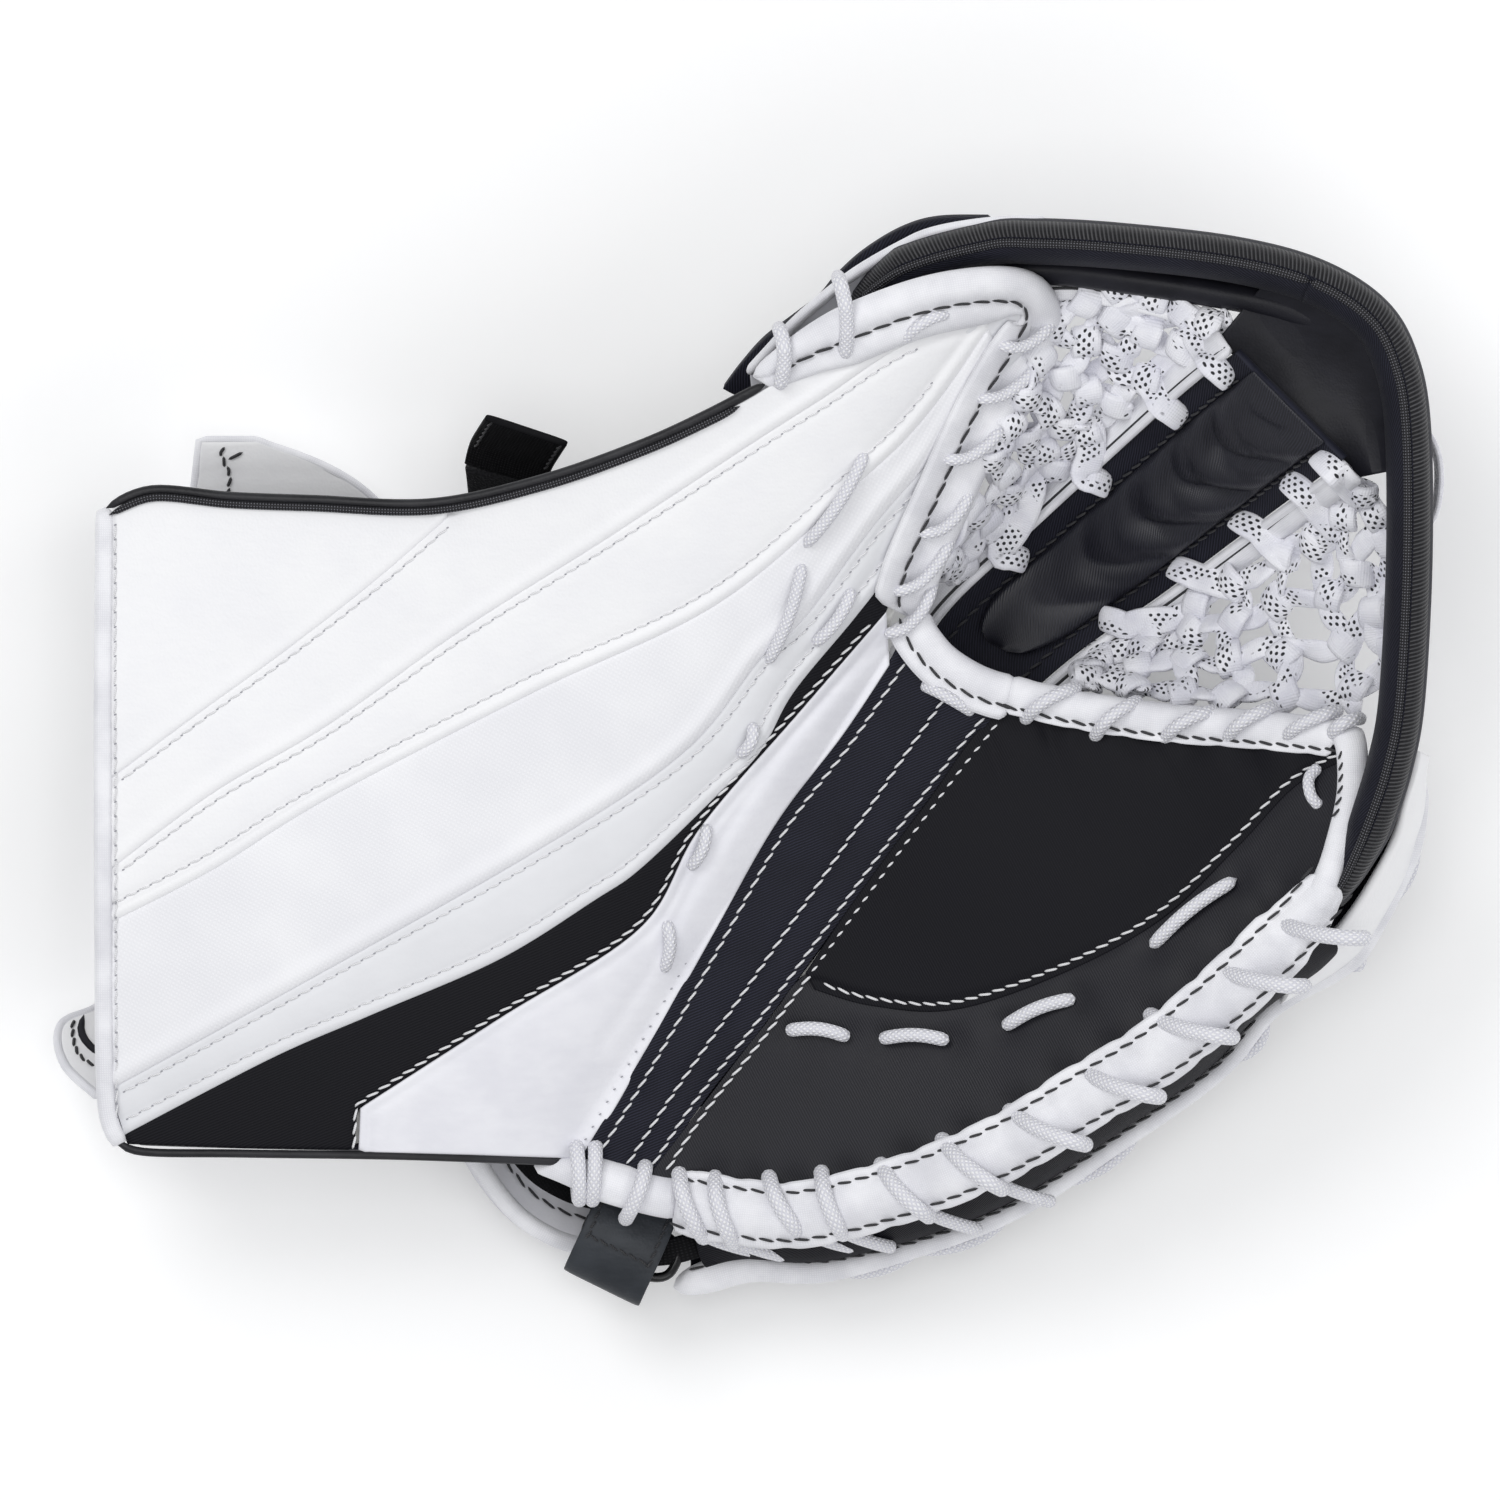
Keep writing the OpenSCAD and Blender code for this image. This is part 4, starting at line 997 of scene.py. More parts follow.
def t_strap():
    """The T, its quilted pad with a stitched line on each side, and its two bindings."""
    a, b = even(curve(T_LEFT, 120), 110), even(curve(T_RIGHT, 120), 110)
    rings = sheet_in_space(a, b, 44, lambda u, v: 0.15 * np.sin(40 * u) * np.sin(9 * v), 2.6,
                           T_SAG)
    piece("t_strap", rings, TWILL_UV, "spine")
    pad_a, pad_b = mix(a, b, 0.17)[16:111], mix(a, b, 0.83)[16:111]
    shrink = 0.36 * (1 - pad_nose(np.linspace(0, 1, len(pad_a))[:, None]))
    pad_a, pad_b = mix(pad_a, pad_b, shrink), mix(pad_a, pad_b, 1 - shrink)
    rings = sheet_in_space(pad_a, pad_b, 36, t_relief, 0.2, 2.4)
    rings[..., 2] -= 1.6
    pad = piece("t_pad", rings, QUILT, "spine")
    rows = []
    for f in (0.15, 0.85):
        sag = T_SAG * 4 * f * (1 - f)
        rows += stitches(mix(a, b, f)[12:106] + [0, 0, 0.4 - sag], pitch=4.6, fill=0.9, thick=0.9)
    piece("t_stitches", rows, BLACK_THREAD, "spine")
    strip = [(-1.9, 1.2), (-1.0, 2.4), (0.2, 2.4), (1.0, 1.3), (1.7, 1.5), (4.6, 0.2),
             (6.6, -1.6), (6.2, -2.4), (3.6, -1.4), (0.4, -1.9), (-1.6, -1.4)]
    for name, edge, side in (("t_binding_left", a, -1), ("t_binding_right", b, 1)):
        path = edge + [side * 1.6, -side * 1.6, 0]
        section = [(side * x, y) for x, y in strip]
        piece(name, swept(path, section, scale=round_ends(len(path), 2)), TAPE, "spine")
        s, _ = side_frame(path)
        line = path + s * side * 1.05 + [0, 0, 1.35]
        piece(name + "_line", rod(line[1:-1], 1.25, sides=8), BLACK_THREAD, "spine")


def corner():
    """The black leather between the top of the T and the bar."""
    a = curve([[143, 127, 122], [159, 111, 119], [171, 101, 119], [184, 86, 123]], 40)
    b = curve([[157, 144, 128], [176, 140, 129], [191, 128, 129], [197, 88, 125]], 40)
    rings = sheet_in_space(a, b, 24, lambda u, v: -2.2 * np.sin(math.pi * v) + 0.4 *
                           np.sin(9 * u + 5 * v), 2.4, 2)
    piece("corner_patch", rings, BLACK, "spine")


# ---- perimeter bar, in a thumb part and a finger part ----
BAR = [[34, 138, 104], [49, 149, 108], [74, 156, 114], [90, 156.5, 118], [114, 155, 123],
       [147, 151, 127], [171, 144.6, 128], [188, 134, 128], [196, 120, 128],
       [199.5, 100, 127], [200, 61, 123], [198, 20, 116], [194.5, 0, 112], [189, -17, 108],
       [183, -31, 104], [178, -39, 100], [172.5, -46, 95]]
# two bodies and the two ends, in metres, of the stretch between them; a piece given these is baked
# in place and attached to neither body
THUMB_TURN = ("thumb_half", "spine",
              (0.105 - 0.672 * 0.0245, 0.084 + 0.741 * 0.0245, 0.1), (0.105, 0.084, 0.1))
FINGER_TURN = ("spine", "finger_half", (0.101, 0.033, 0.1),
               (0.101 + 0.59 * 0.03, 0.033 - 0.806 * 0.03, 0.1))


def bar_section(sides=40):
    """The padded roll's outline, and the finish of each of its faces."""
    outline = oval(14, 27, sides, 0.86)
    q = 360 * (np.arange(sides) + 0.5) / sides
    outline[:, 1] += 0.5 * np.cos(np.radians(3 * q))
    ribbed = (q > 90) & (q < 144)
    groove = np.exp(-((q - 84) / 6) ** 2) + np.exp(-((q - 146) / 5) ** 2) * 0.7
    return outline * (1 - 0.06 * groove)[:, None], ribbed


def perimeter_bar():
    """The bar and its cord, each split at its corner into a thumb half and a finger half."""
    path = even(curve(BAR, 400), 250)
    split = int(np.argmin(np.linalg.norm(path - np.array(BAR[6], float), axis=1)))
    outline, ribbed = bar_section()
    n = len(path)
    k = np.arange(n)
    taper = np.clip(np.minimum(0.35 + k / 22, 0.28 + (n - 1 - k) / 34), 0, 1)
    scale = taper * round_ends(n, 2)
    rings = swept(path, outline, scale=scale)
    s, u = side_frame(path)
    bead = path + (s * 0.9 + u * 13.1) * scale[:, None]
    halves = (("thumb", slice(0, split + 1), THUMB_TURN),
              ("finger", slice(split, n), FINGER_TURN))
    for side, part, turn in halves:
        own = rings[part]
        faces = np.tile(ribbed, len(own) - 1).astype(int)
        piece("perimeter_bar_" + side, own, [TWILL_UV, RIBBED], turn, replaced="perimeter_bar",
              faces_in=np.r_[faces, 0, 0])
        cord = bead[part][3 if side == "thumb" else 0:]
        piece("bar_piping_" + side, rod(cord, 2.7, sides=10, nose=2), BEADED, turn,
              replaced="bar_piping")


def bar_tip():
    """The white binding under the bar, and the two-sided flap at its thumb tip."""
    tip = curve([[3, 118, 88], [9, 124.5, 93], [16, 132, 98], [24.5, 139.5, 103],
                 [35, 147.5, 107], [48, 155, 111], [58, 159.3, 114], [74, 162, 117],
                 [92, 162.8, 118.5]], 70)
    piece("bar_tip_binding", rod(tip, 3.6, 8.0, 14), TAPE, THUMB_TURN)
    outer = curve([[-5, 113, 79], [0, 119.5, 84], [7, 126.8, 89], [15, 132.5, 93],
                   [24, 139.5, 97], [29, 146, 99], [37, 153.4, 103], [48, 160, 107],
                   [59, 163, 110], [74, 163, 112]], 80)
    inner = curve([[4, 109, 78], [11, 114, 82], [18, 121, 85], [26, 128, 88], [34, 133, 91],
                   [42, 137, 94], [52, 141, 98], [62, 145, 101], [74, 149, 104],
                   [88, 152, 106]], 80)
    flap = sheet_in_space(outer, inner, 10, bulge(0.5), 3.0)
    piece("bar_tip_back", flap, TWILL_UV, THUMB_TURN)
    face = sheet_in_space(curve(tip[:56:5], 60) + [0, 0, -1.0],
                          curve(inner[:72:6], 60) + [0, 0, 2.6], 10, bulge(0.4), 1.2)
    piece("bar_tip_leather", face, WHITE_STRIP, THUMB_TURN)


def bar_inside():
    """The black fold inside the bar and the thumb web's top binding."""
    fold = curve([[70, 147, 106], [92, 148, 110], [114, 145.5, 114], [140, 141.5, 117],
                  [162, 137.0, 118], [182, 129, 117]], 50)
    piece("bar_inner_fold", rod(fold, 9.0, 11, 16), BLACK, THUMB_TURN)
    strip = curve([[84, 140, 107], [96, 141.5, 109], [110, 140.5, 111], [126, 137, 113],
                   [140, 132.5, 115]], 40)
    piece("web_top_binding", rod(strip, 6.5, 2.4, 14), TAPE, THUMB_TURN)
    piece("web_top_line", rod(strip[2:-2] + [0, 1.2, 1.3], 1.0, sides=8), BLACK_THREAD, THUMB_TURN)


# ---- woven webs ----
def web_point(a, b, u, v, sag):
    """The point u along and v across the sagging sheet between curves a and b."""
    p = mix(spline(a, u * (len(a) - 1)), spline(b, u * (len(b) - 1)), np.asarray(v)[..., None])
    p[..., 2] -= sag * 4 * v * (1 - v)
    return p


def web_normal(a, b, u, v, sag):
    e = 0.02
    u0, u1 = np.maximum(u - e, 0), np.minimum(u + e, 1)
    v0, v1 = np.maximum(v - e, 0), np.minimum(v + e, 1)
    n = unit(np.cross(web_point(a, b, u1, v, sag) - web_point(a, b, u0, v, sag),
                      web_point(a, b, u, v1, sag) - web_point(a, b, u, v0, sag)))
    return n * np.where(n[..., 2:] < 0, -1, 1)


def ribbon(path, normal, width, thick=2.4, twist=0.0, nose=1.5):
    """A flat tubular lace along a path, its flat side turned from normal by twist."""
    t = tangents(path)
    s = unit(np.cross(t, normal))
    u = np.cross(s, t)
    turn = np.broadcast_to(twist, (len(path),))[:, None]
    s, u = s * np.cos(turn) + u * np.sin(turn), u * np.cos(turn) - s * np.sin(turn)
    section = oval(1, 1, 12, 0.75)
    width = np.broadcast_to(width, (len(path),))[:, None, None]
    ends = round_ends(len(path), nose)[:, None, None]
    rings = path[:, None] + ends * (s[:, None] * section[:, :1] * width
                                    + u[:, None] * section[:, 1:] * thick)
    return skin(rings)


def knot(a, b, u, v, sag, turn):
    """A turn of flat lace round the crossing at u, v, its axis turned in the web's face."""
    c = web_point(a, b, u, v, sag)[0]
    n = web_normal(a, b, u, v, sag)[0]
    g = web_point(a, b, u + 0.02, v, sag)[0] - c
    g = unit(g - n * (g @ n))
    h = np.cross(n, g)
    axis = g * math.cos(turn) + h * math.sin(turn)
    q = np.linspace(0, 2 * math.pi, 19)[:-1]
    ring = (c + np.cross(n, axis) * np.outer(np.cos(q), [4.3])
            + n * np.outer(np.sin(q), [2.9]))
    ring = ring + axis * np.outer(np.sin(q + 0.7), [1.1])
    out = np.cross(axis, tangents(np.r_[ring, ring[:1]])[:-1])
    flat = unit(np.cross(tangents(np.r_[ring[-1:], ring, ring[:1]])[1:-1], out))
    wide = LACE_W * 0.88 * (1 + 0.14 * np.sin(q))
    section = oval(1, 1, 10, 0.75)
    rings = (ring[:, None] + flat[:, None] * section[:, :1] * wide[:, None, None]
             + out[:, None] * section[:, 1:] * 2.3)
    return skin(rings, wrap_u=True)


def web(a, b, warps, wefts, sag):
    """A knotted net of flat laces between an inner edge a and an outer edge b."""
    a, b = np.asarray(a, float), np.asarray(b, float)
    parts = []
    per = 10  # steps from one crossing to the next
    warp_v = (np.arange(warps) + 0.5) / warps
    weft_u = (np.arange(wefts) + 0.5) / wefts

    def lace(u, v, count, odd, wide):
        f = np.linspace(0, count, len(u))
        phase = math.pi * (f + odd)
        base = web_point(a, b, u, v, sag)
        n = web_normal(a, b, u, v, sag)
        line = base + n * (1.7 * np.cos(phase))[:, None]
        twist = 0.75 * np.sin(math.pi * f + chance.uniform(0, 6)) * np.sin(1.7 * f)
        width = wide * (0.84 + 0.16 * np.cos(2 * math.pi * f))
        parts.append(ribbon(line, n, width, twist=twist))

    for k, v in enumerate(warp_v):
        u = np.linspace(0.01, 0.99, wefts * per + 1)
        sway = 0.13 / warps * np.cos(math.pi * np.linspace(0, wefts, len(u)) + k)
        lace(u, v + sway, wefts, k % 2, LACE_W * 0.84)
    for k, u in enumerate(weft_u):
        v = np.linspace(0.02, 0.98, warps * per + 1)
        sway = 0.16 / wefts * np.cos(math.pi * np.linspace(0, warps, len(v)) + k)
        lace(u + sway, v, warps, (k + 1) % 2, LACE_W * 0.8)
    for i, v in enumerate(warp_v):
        for j, u in enumerate(weft_u):
            u0 = np.clip(u + chance.uniform(-0.12, 0.12) / wefts, 0.03, 0.97)
            v0 = np.clip(v + chance.uniform(-0.12, 0.12) / warps, 0.05, 0.95)
            ends = web_point(a, b, np.array([u0, u0]), np.array([0.0, 1.0]), 0)
            if np.linalg.norm(ends[1] - ends[0]) < 6 * warps and (i + j) % 2:
                continue
            turn = (0.55 if (i + j) % 2 else -0.75) + chance.uniform(-0.2, 0.2)
            parts.append(knot(a, b, np.array([u0]), np.array([v0]), sag, turn))
    return parts


def binding_loops(edge, other, web_a, web_b, places, sag):
    """Laces that come out of the web, over the T's binding and down into the T."""
    parts = []
    edge, other = curve(edge, 60), curve(other, 60)
    for f in places:
        e = spline(edge, [f * 60])[0]
        inward = unit(spline(other, [f * 60])[0] - e)
        start = web_point(np.asarray(web_a, float), np.asarray(web_b, float), np.array([f]),
                          np.array([0.22]), sag)[0]
        points = [start, mix(start, e, 0.6) + [0, 0, 2.4], e - inward * 2.5 + [0, 0, 5.0],
                  e + inward * 1.5 + [0, 0, 4.2], e + inward * 4.8 + [0, 0, 1.0],
                  e + inward * 5.4 + [0, 0, -2.5]]
        path = curve(points, 24)
        normal = np.tile([0.0, 0.0, 1.0], (25, 1)) + inward * np.linspace(-0.4, 1.2, 25)[:, None]
        wide = LACE_W * (1 - 0.25 * np.linspace(0, 1, 25) ** 3)
        parts.append(ribbon(path, unit(normal), wide, 2.6, chance.uniform(-0.3, 0.3), 3))
    return parts


THUMB_WEB_IN = [[64, 56, 50], [84, 76, 56], [107, 98, 78], [128, 116, 102], [150, 133, 124]]
THUMB_WEB_OUT = [[58, 58, 76], [72, 90, 96], [83, 112, 105], [91, 136, 109], [112, 146, 113]]
FINGER_WEB_IN = [[104, 31, 40], [131, 48, 52], [156, 65, 76], [174, 77, 101], [187, 87, 121]]
FINGER_WEB_OUT = [[100, 26, 64], [126, 19, 70], [156, 15, 80], [194, 18, 93], [200, 64, 110]]


def webs():
    """Both nets, with the loops that tie them to the T and one lace outside the bar."""
    parts = web(THUMB_WEB_IN, THUMB_WEB_OUT, 4, 9, 4)
    parts += binding_loops(T_LEFT, T_RIGHT, THUMB_WEB_IN, THUMB_WEB_OUT, (0.36, 0.55, 0.74, 0.9),
                           4)
    piece("thumb_web", parts, FLAT_LACE, THUMB_TURN)
    outside = curve([[197, 102, 110.5], [204.5, 99.5, 112], [208.4, 93, 116], [209, 83, 116.5],
                     [206.8, 74.5, 113], [198, 69, 108.5]], 30)
    parts = web(FINGER_WEB_IN, FINGER_WEB_OUT, 4, 8, 6)
    parts.append(ribbon(outside, unit(outside - [194, 85, 119]), LACE_W))
    parts += binding_loops(T_RIGHT, T_LEFT, FINGER_WEB_IN, FINGER_WEB_OUT,
                           (0.3, 0.46, 0.62, 0.8, 0.93), 6)
    piece("finger_web", parts, FLAT_LACE, FINGER_TURN)


# ---- finger half: palm ----
def dimples(p, spots, depth, reach):
    """How far the leather is drawn down round lace holes."""
    fall = np.zeros(p.shape[:-1])
    for x, y in spots:
        d = np.hypot(p[..., 0] - x, p[..., 1] - y)
        fall = np.maximum(fall, depth * np.exp(-(d / reach) ** 2))
    return fall


PALM_SPOTS = [spot for pair in PALM_STITCHES for spot in pair]
ROLL_HOLES = [tuple(p) for p in offset(spline(ROLL_PATH, np.linspace(0.7, 8.5, 14)), 9.5)]
POCKET_HOLES = [tuple(p) for p in offset(spline(POCKET_PATH, np.linspace(0.6, 4.6, 7)), -8.0)]


def palm_height(p):
    """The palm's face with its waves, its pleats near the pocket and its lace dimples."""
    x, y = p[..., 0], p[..., 1]
    wave = 0.8 * np.sin(x / 19 + 1.0) * np.sin(y / 15) + 0.6 * np.sin((x + y) / 26)
    pleats = np.abs(np.sin(x / 8 + y / 21 + 0.7 * np.sin(x / 13))) ** 0.7
    wave = wave + 1.5 * (pleats - 0.8) * np.exp(-((y - 12) / 19) ** 2)
    return (palm_z(p) + wave - dimples(p, PALM_SPOTS, 1.2, 5.0)
            - dimples(p, ROLL_HOLES, 1.3, 5.5) - dimples(p, POCKET_HOLES, 1.3, 5.0))


def palm():
    """The palm's two black pieces and their rows of thread."""
    rim = spaced(PATCH_OUT, 2)
    inner = spaced(PATCH_IN, 2)

    def patch_height(p):
        d = np.abs(signed_distance(p, rim))
        return palm_height(p) + 0.9 * smooth(d / 5) - 0.45 * np.exp(-((d - 2.4) / 0.9) ** 2)

    def skin_height(p):
        d = -signed_distance(p, rim)
        return palm_height(p) - 0.7 * smooth((3 - d) / 4)
    n = 150
    rings = sheet_between(even(offset(inner, 1.5), n), even(offset(rim, -0.6), n), 44,
                          patch_height, 2.0, 0.6)
    piece("palm_patch", rings, PALM, "finger_half")
    a = spaced([[-26, -124.5], [-10.5, -104], [10, -77.5], [24, -63], [54, -69], [97, -57],
                [123, -40.5], [145, -19], [161, -2], [180, 6.5]], 2)
    rings = sheet_between(even(offset(a, 1.5), n), even(offset(spaced(SKIN_OUT, 2), -3.5), n), 40,
                          skin_height, 2.0, 0.3)
    piece("palm_skin", rings, PALM_SKIN, "finger_half")
    rows = stitches(lay(patch_height, offset(rim, 1.8)[1:-1], 0.1))
    piece("palm_stitches", rows, WHITE_THREAD, "finger_half")
    left = offset(spaced(GUSSET_B, 2), -2.2)
    rows = stitches(lay(palm_height, left[2:-2], 0.3))
    piece("palm_side_stitches", rows, WHITE_THREAD, "finger_half")


PALM_ROLL_SECTION = [(-10.4, 3.6), (-9.2, 4.3), (-8.0, 3.9), (-7.0, 3.5), (-6.0, 3.9),
                     (-4.0, 5.2), (-1.5, 5.9), (1.5, 5.9), (4.0, 5.1), (6.0, 3.6), (7.0, 2.4),
                     (8.0, 1.8), (9.2, 1.2), (10.2, -0.4), (9.4, -1.4), (7.4, -0.9),
                     (6.6, -1.8), (5.0, -3.8), (2.0, -5.2), (-2.0, -5.4), (-5.0, -4.0),
                     (-6.6, -1.2), (-7.8, 1.4), (-10.0, 2.4)]
POCKET_SECTION = flipped([(max(x, -7.3), y) for x, y in TEARDROP])


def palm_edges():
    """The white rolls round the palm, with their thread."""
    path = even(lay(palm_z, curve(ROLL_PATH + [[177, -34]], 300), -1.5), 190)
    taper = np.interp(np.linspace(0, 1, len(path)), [0, 0.9, 1], [1, 1, 0.6])
    scale = pinched(len(path), 14 * 1.11, 0.06, 0.75) * round_ends(len(path), 3) * taper
    rings = swept(path, PALM_ROLL_SECTION, scale=scale)
    piece("palm_roll", rings, TAPE, "finger_half")
    s, _ = side_frame(path)
    rows = stitches(path - s * 7.0 + [0, 0, 3.5], pitch=5.4, fill=0.95, thick=0.95)
    rows += stitches(path + s * 7.4 + [0, 0, 2.2], pitch=5.4, fill=0.95, thick=0.95)
    piece("palm_roll_stitches", rows, BLACK_THREAD, "finger_half")
    pocket = even(lay(palm_z, curve(POCKET_PATH, 200), -1), 70)
    scale = pinched(len(pocket), 7.2, 0.05, 0.4) * round_ends(len(pocket), 2)
    piece("pocket_edge_roll", swept(pocket, POCKET_SECTION, scale=scale), TAPE, "finger_half")
    s, _ = side_frame(pocket)
    rows = stitches(pocket + s * 5.2 + [0, 0, 2.85], pitch=5.2, fill=0.94, thick=1.0)
    piece("pocket_roll_stitches", rows, BLACK_THREAD, "finger_half")
    side = even(lay(palm_z, curve([[181.5, 11], [183.3, 4], [183, -9], [179.6, -22.5],
                                   [175.4, -34], [168.5, -45]], 200), -0.2), 60)
    n = len(side)
    f = np.linspace(0, 1, n)
    scale = (1.1 - 0.3 * f) * round_ends(n, 3)
    piece("palm_side_binding", swept(side, oval(9, 7, 20), scale=scale), TAPE, "finger_half")
    s, _ = side_frame(side)
    line = side[6:30] + s[6:30] * 3.4 + [0, 0, 2.2]
    rows = stitches(line, pitch=3.4, fill=0.9, slant=0.9, thick=0.9)
    piece("palm_side_line", rows, BLACK_THREAD, "finger_half")
    loop = [[173.5, -0.5], [170.5, -4], [171, -9], [173.8, -12.5]]
    line = curve(lay(palm_z, loop, [-1, 2.4, 2.4, -1]), 20)
    piece("side_loop", rod(line, 3.6, nose=2), ROUND_LACE, "finger_half")


ROLL_LACES = [([-18.3, -122.4], [-10.5, -142.8]), ([-7.5, -123.6], [-1.5, -144.3]),
              ([8.7, -123.6], [19.2, -141.6]), ([24.6, -122.1], [31.5, -141.6]),
              ([42.3, -119.7], [57.5, -136]), ([60.6, -112.2], [79.5, -127.6]),
              ([80.7, -103.5], [104.6, -113.9]), ([102.6, -91.2], [126.6, -99.4]),
              ([122.7, -74.7], [148.5, -81.4]), ([142.8, -60.6], [169.8, -66]),
              ([160.8, -46.8], [187.5, -51.5])]
POCKET_LACES = [([85.8, 13.8], [101.7, 23.1]), ([106.8, 8.7], [120, 19.2]),
                ([127.5, 8.1], [142.8, 16.2]), ([146.1, 8.1], [160.5, 17.4]),
                ([163.2, 8.1], [180, 16.2]), ([177, 8.7], [186.3, 13.8])]
ROLL_STOPS = ((-0.02, -3.0, 0.0), (0.06, 1.0, 0.2), (0.25, 5.6, 0.8), (0.5, 6.6, 1.0),
              (0.78, 4.1, 0.7), (0.95, -2.4, 0.25), (1.0, -7.0, 0.0))
POCKET_STOPS = ((-0.02, -3.0, 0.0), (0.06, 1.0, 0.2), (0.25, 4.9, 0.8), (0.5, 5.9, 1.0),
                (0.78, 3.7, 0.7), (0.95, -1.4, 0.25), (1.0, -4.0, 0.0))


def edge_laces():
    """The laces over the palm's two rolls, and those through its face."""
    bow = 1.6
    wraps = [over_roll(palm_z, a, b, ROLL_STOPS, 5.0, -bow) for a, b in ROLL_LACES]
    for _, b in ROLL_LACES[:6]:
        z = palm_z(np.array([b[0] - 5, b[1] + 5]))
        line = [[b[0] + dx, b[1] + dy, z + dz] for dx, dy, dz in
                ((-5, 5, -5), (1, 0.5, -8), (9, -2.5, -13), (15, -4, -19))]
        wraps.append(rod(curve(line, 20), 4.2, nose=2))
    piece("palm_roll_lacing", wraps, ROUND_LACE, "finger_half")
    loops = [over_roll(palm_z, a, b, POCKET_STOPS, 4.2, bow) for a, b in POCKET_LACES]
    route = [[54.9, 24.3], [60, 21.8], [65, 19], [70.4, 15.8]]
    lace = rod(curve(lay(palm_z, route, [-1, 2.2, 2.2, -1]), 20), 3.9, nose=2)
    piece("gusset_corner_lace", lace, ROUND_LACE, "spine")
    piece("pocket_edge_lacing", loops, ROUND_LACE, "finger_half")
    parts = [face_stitch(palm_z, a, b, 4.3) for a, b in PALM_STITCHES]
    piece("palm_face_lacing", parts, ROUND_LACE, "finger_half")


# ---- finger half: walls and back ----
BACK_EDGE = [[-15, -157, 31], [2, -152, 33], [30, -152, 35], [78, -137, 41], [116, -113, 48],
             [145, -92, 54], [161, -73, 59], [180, -61, 64], [188, -52, 68], [201, -25, 76],
             [205, -4, 80]]
BASE_EDGE = [[-14, -112, 5.2], [0, -112, 5.2], [30, -108, 5.2], [66, -94, 5.2], [92, -78, 5.2],
             [112, -64, 6], [126, -52, 10], [138, -42, 15], [146, -34, 20], [156, -22, 30],
             [164, -10, 40]]


def ring_lines(rows, per):
    """Refines closed rings: smooth between the given corners of each ring."""
    corners = rows.shape[1]
    t = np.arange(corners * per) / per
    padded = np.concatenate([rows[:, -1:], rows, rows[:, :2]], 1)
    return np.stack([spline(r, t + 1) for r in padded])


UP = np.array([0, 0, 1.0])
EDGE_STEPS = 130


def finger_wall():
    """The padded side wall, from under the palm's roll down to the white edge."""
    n = EDGE_STEPS
    top = np.concatenate([lay(palm_z, [[-13, -132.5]] + ROLL_PATH[1:9], -8),
                          [[177, -40, 83], [190, -25, 82], [199, -8, 83]]])
    foot = np.asarray([[-10, -155, 32]] + BACK_EDGE[1:], float)
    r, e = curve(top, n), curve(foot, n)
    g = tangents(r)
    o = unit(np.stack([g[:, 1], -g[:, 0], np.zeros(n + 1)], 1))
    upper = r + o * 5
    b = r - o * 1.5 - UP * 0.5
    low = e - o * 9 + UP * 3
    rows = np.stack([upper, mix(upper, e, 0.5) + o * 2, e - o * 3 + UP * 3, low,
                     mix(b, low, 0.5) + o, b], 1)
    wall = piece("finger_wall", ring_lines(rows, 5), WALL, "finger_half")


def back_board():
    """The padded back of the glove, from the white edge down to the base."""
    e, b = curve(BACK_EDGE, EDGE_STEPS), curve(BASE_EDGE, EDGE_STEPS)
    bend = 4 + 3 * np.sin(math.pi * np.linspace(0, 1, len(e)))
    rim = mix(e, b, 0.08) - UP
    mid = mix(e, b, 0.55) - np.outer(bend, UP)
    mid[:, 2] = np.maximum(mid[:, 2], 1)
    rows = np.stack([rim, mid, b - UP * 5, b, mid + UP * 5, rim + UP * 4.2], 1)
    rows[..., 2] = np.maximum(rows[..., 2], 0.02)
    rings = ring_lines(rows, 4)
    rings[..., 2] = np.maximum(rings[..., 2], 0.02)
    board = piece("back_board", rings, WALL, "finger_half")


def back_edge():
    """The white edge below the wall, the leather below the bar and the lacing behind."""
    path = even(curve([[-20, -158, 31]] + BACK_EDGE[1:], 300), 190)
    scale = round_ends(len(path), 5) * np.interp(
        np.linspace(0, 1, len(path)), [0, 0.04, 0.12, 0.25, 0.68, 0.8, 0.92, 1],
        [1.5, 2.0, 1.6, 1.1, 1.0, 1.5, 1.6, 1.0])
    piece("back_binding", swept(path, oval(5.2, 5.2, 18), scale=scale), TAPE, "finger_half")
    s, u = side_frame(path)
    rows = stitches((path + (u * 2.2 - s * 1.9) * scale[:, None])[4:-4], pitch=5.4, fill=0.95,
                    thick=0.9)
    piece("back_binding_stitches", rows, BLACK_THREAD, "finger_half")
    top = curve([[204, 4, 98], [198, -19, 99], [190, -35, 96], [181, -48, 89], [166, -64, 73]], 60)
    low = curve([[206.5, 2, 82], [203, -25, 79], [190, -52, 71], [180, -62, 68], [163, -72, 63]],
                60)
    leather = sheet_in_space(top, low, 14, lambda u, v: 1.6 * np.sin(math.pi * v) + 0.5
                             * np.sin(26 * u + 5 * v) * np.exp(-((u - 0.2) / 0.15) ** 2), 1.8)
    piece("back_side_leather", leather, WHITE, "finger_half")
    peeks = []
    for t0, t1 in ((2.0, 2.5), (2.5, 3.05), (3.5, 4.1), (5.2, 5.8), (7.2, 7.7), (8.4, 9.1)):
        t = np.linspace(t0, t1, 15)
        c = spline(BACK_EDGE, t)
        g = unit(np.gradient(c, axis=0))
        out = unit(np.cross(g, [0, 0, 1.0]))
        sway = np.sin(math.pi * (t - t0) / (t1 - t0))[:, None]
        line = c + out * (1.0 + 2.6 * sway) + [0, 0, -4.5]
        peeks.append(rod(line, 3.6, nose=2))
    piece("back_lacing", peeks, ROUND_LACE, "finger_half")


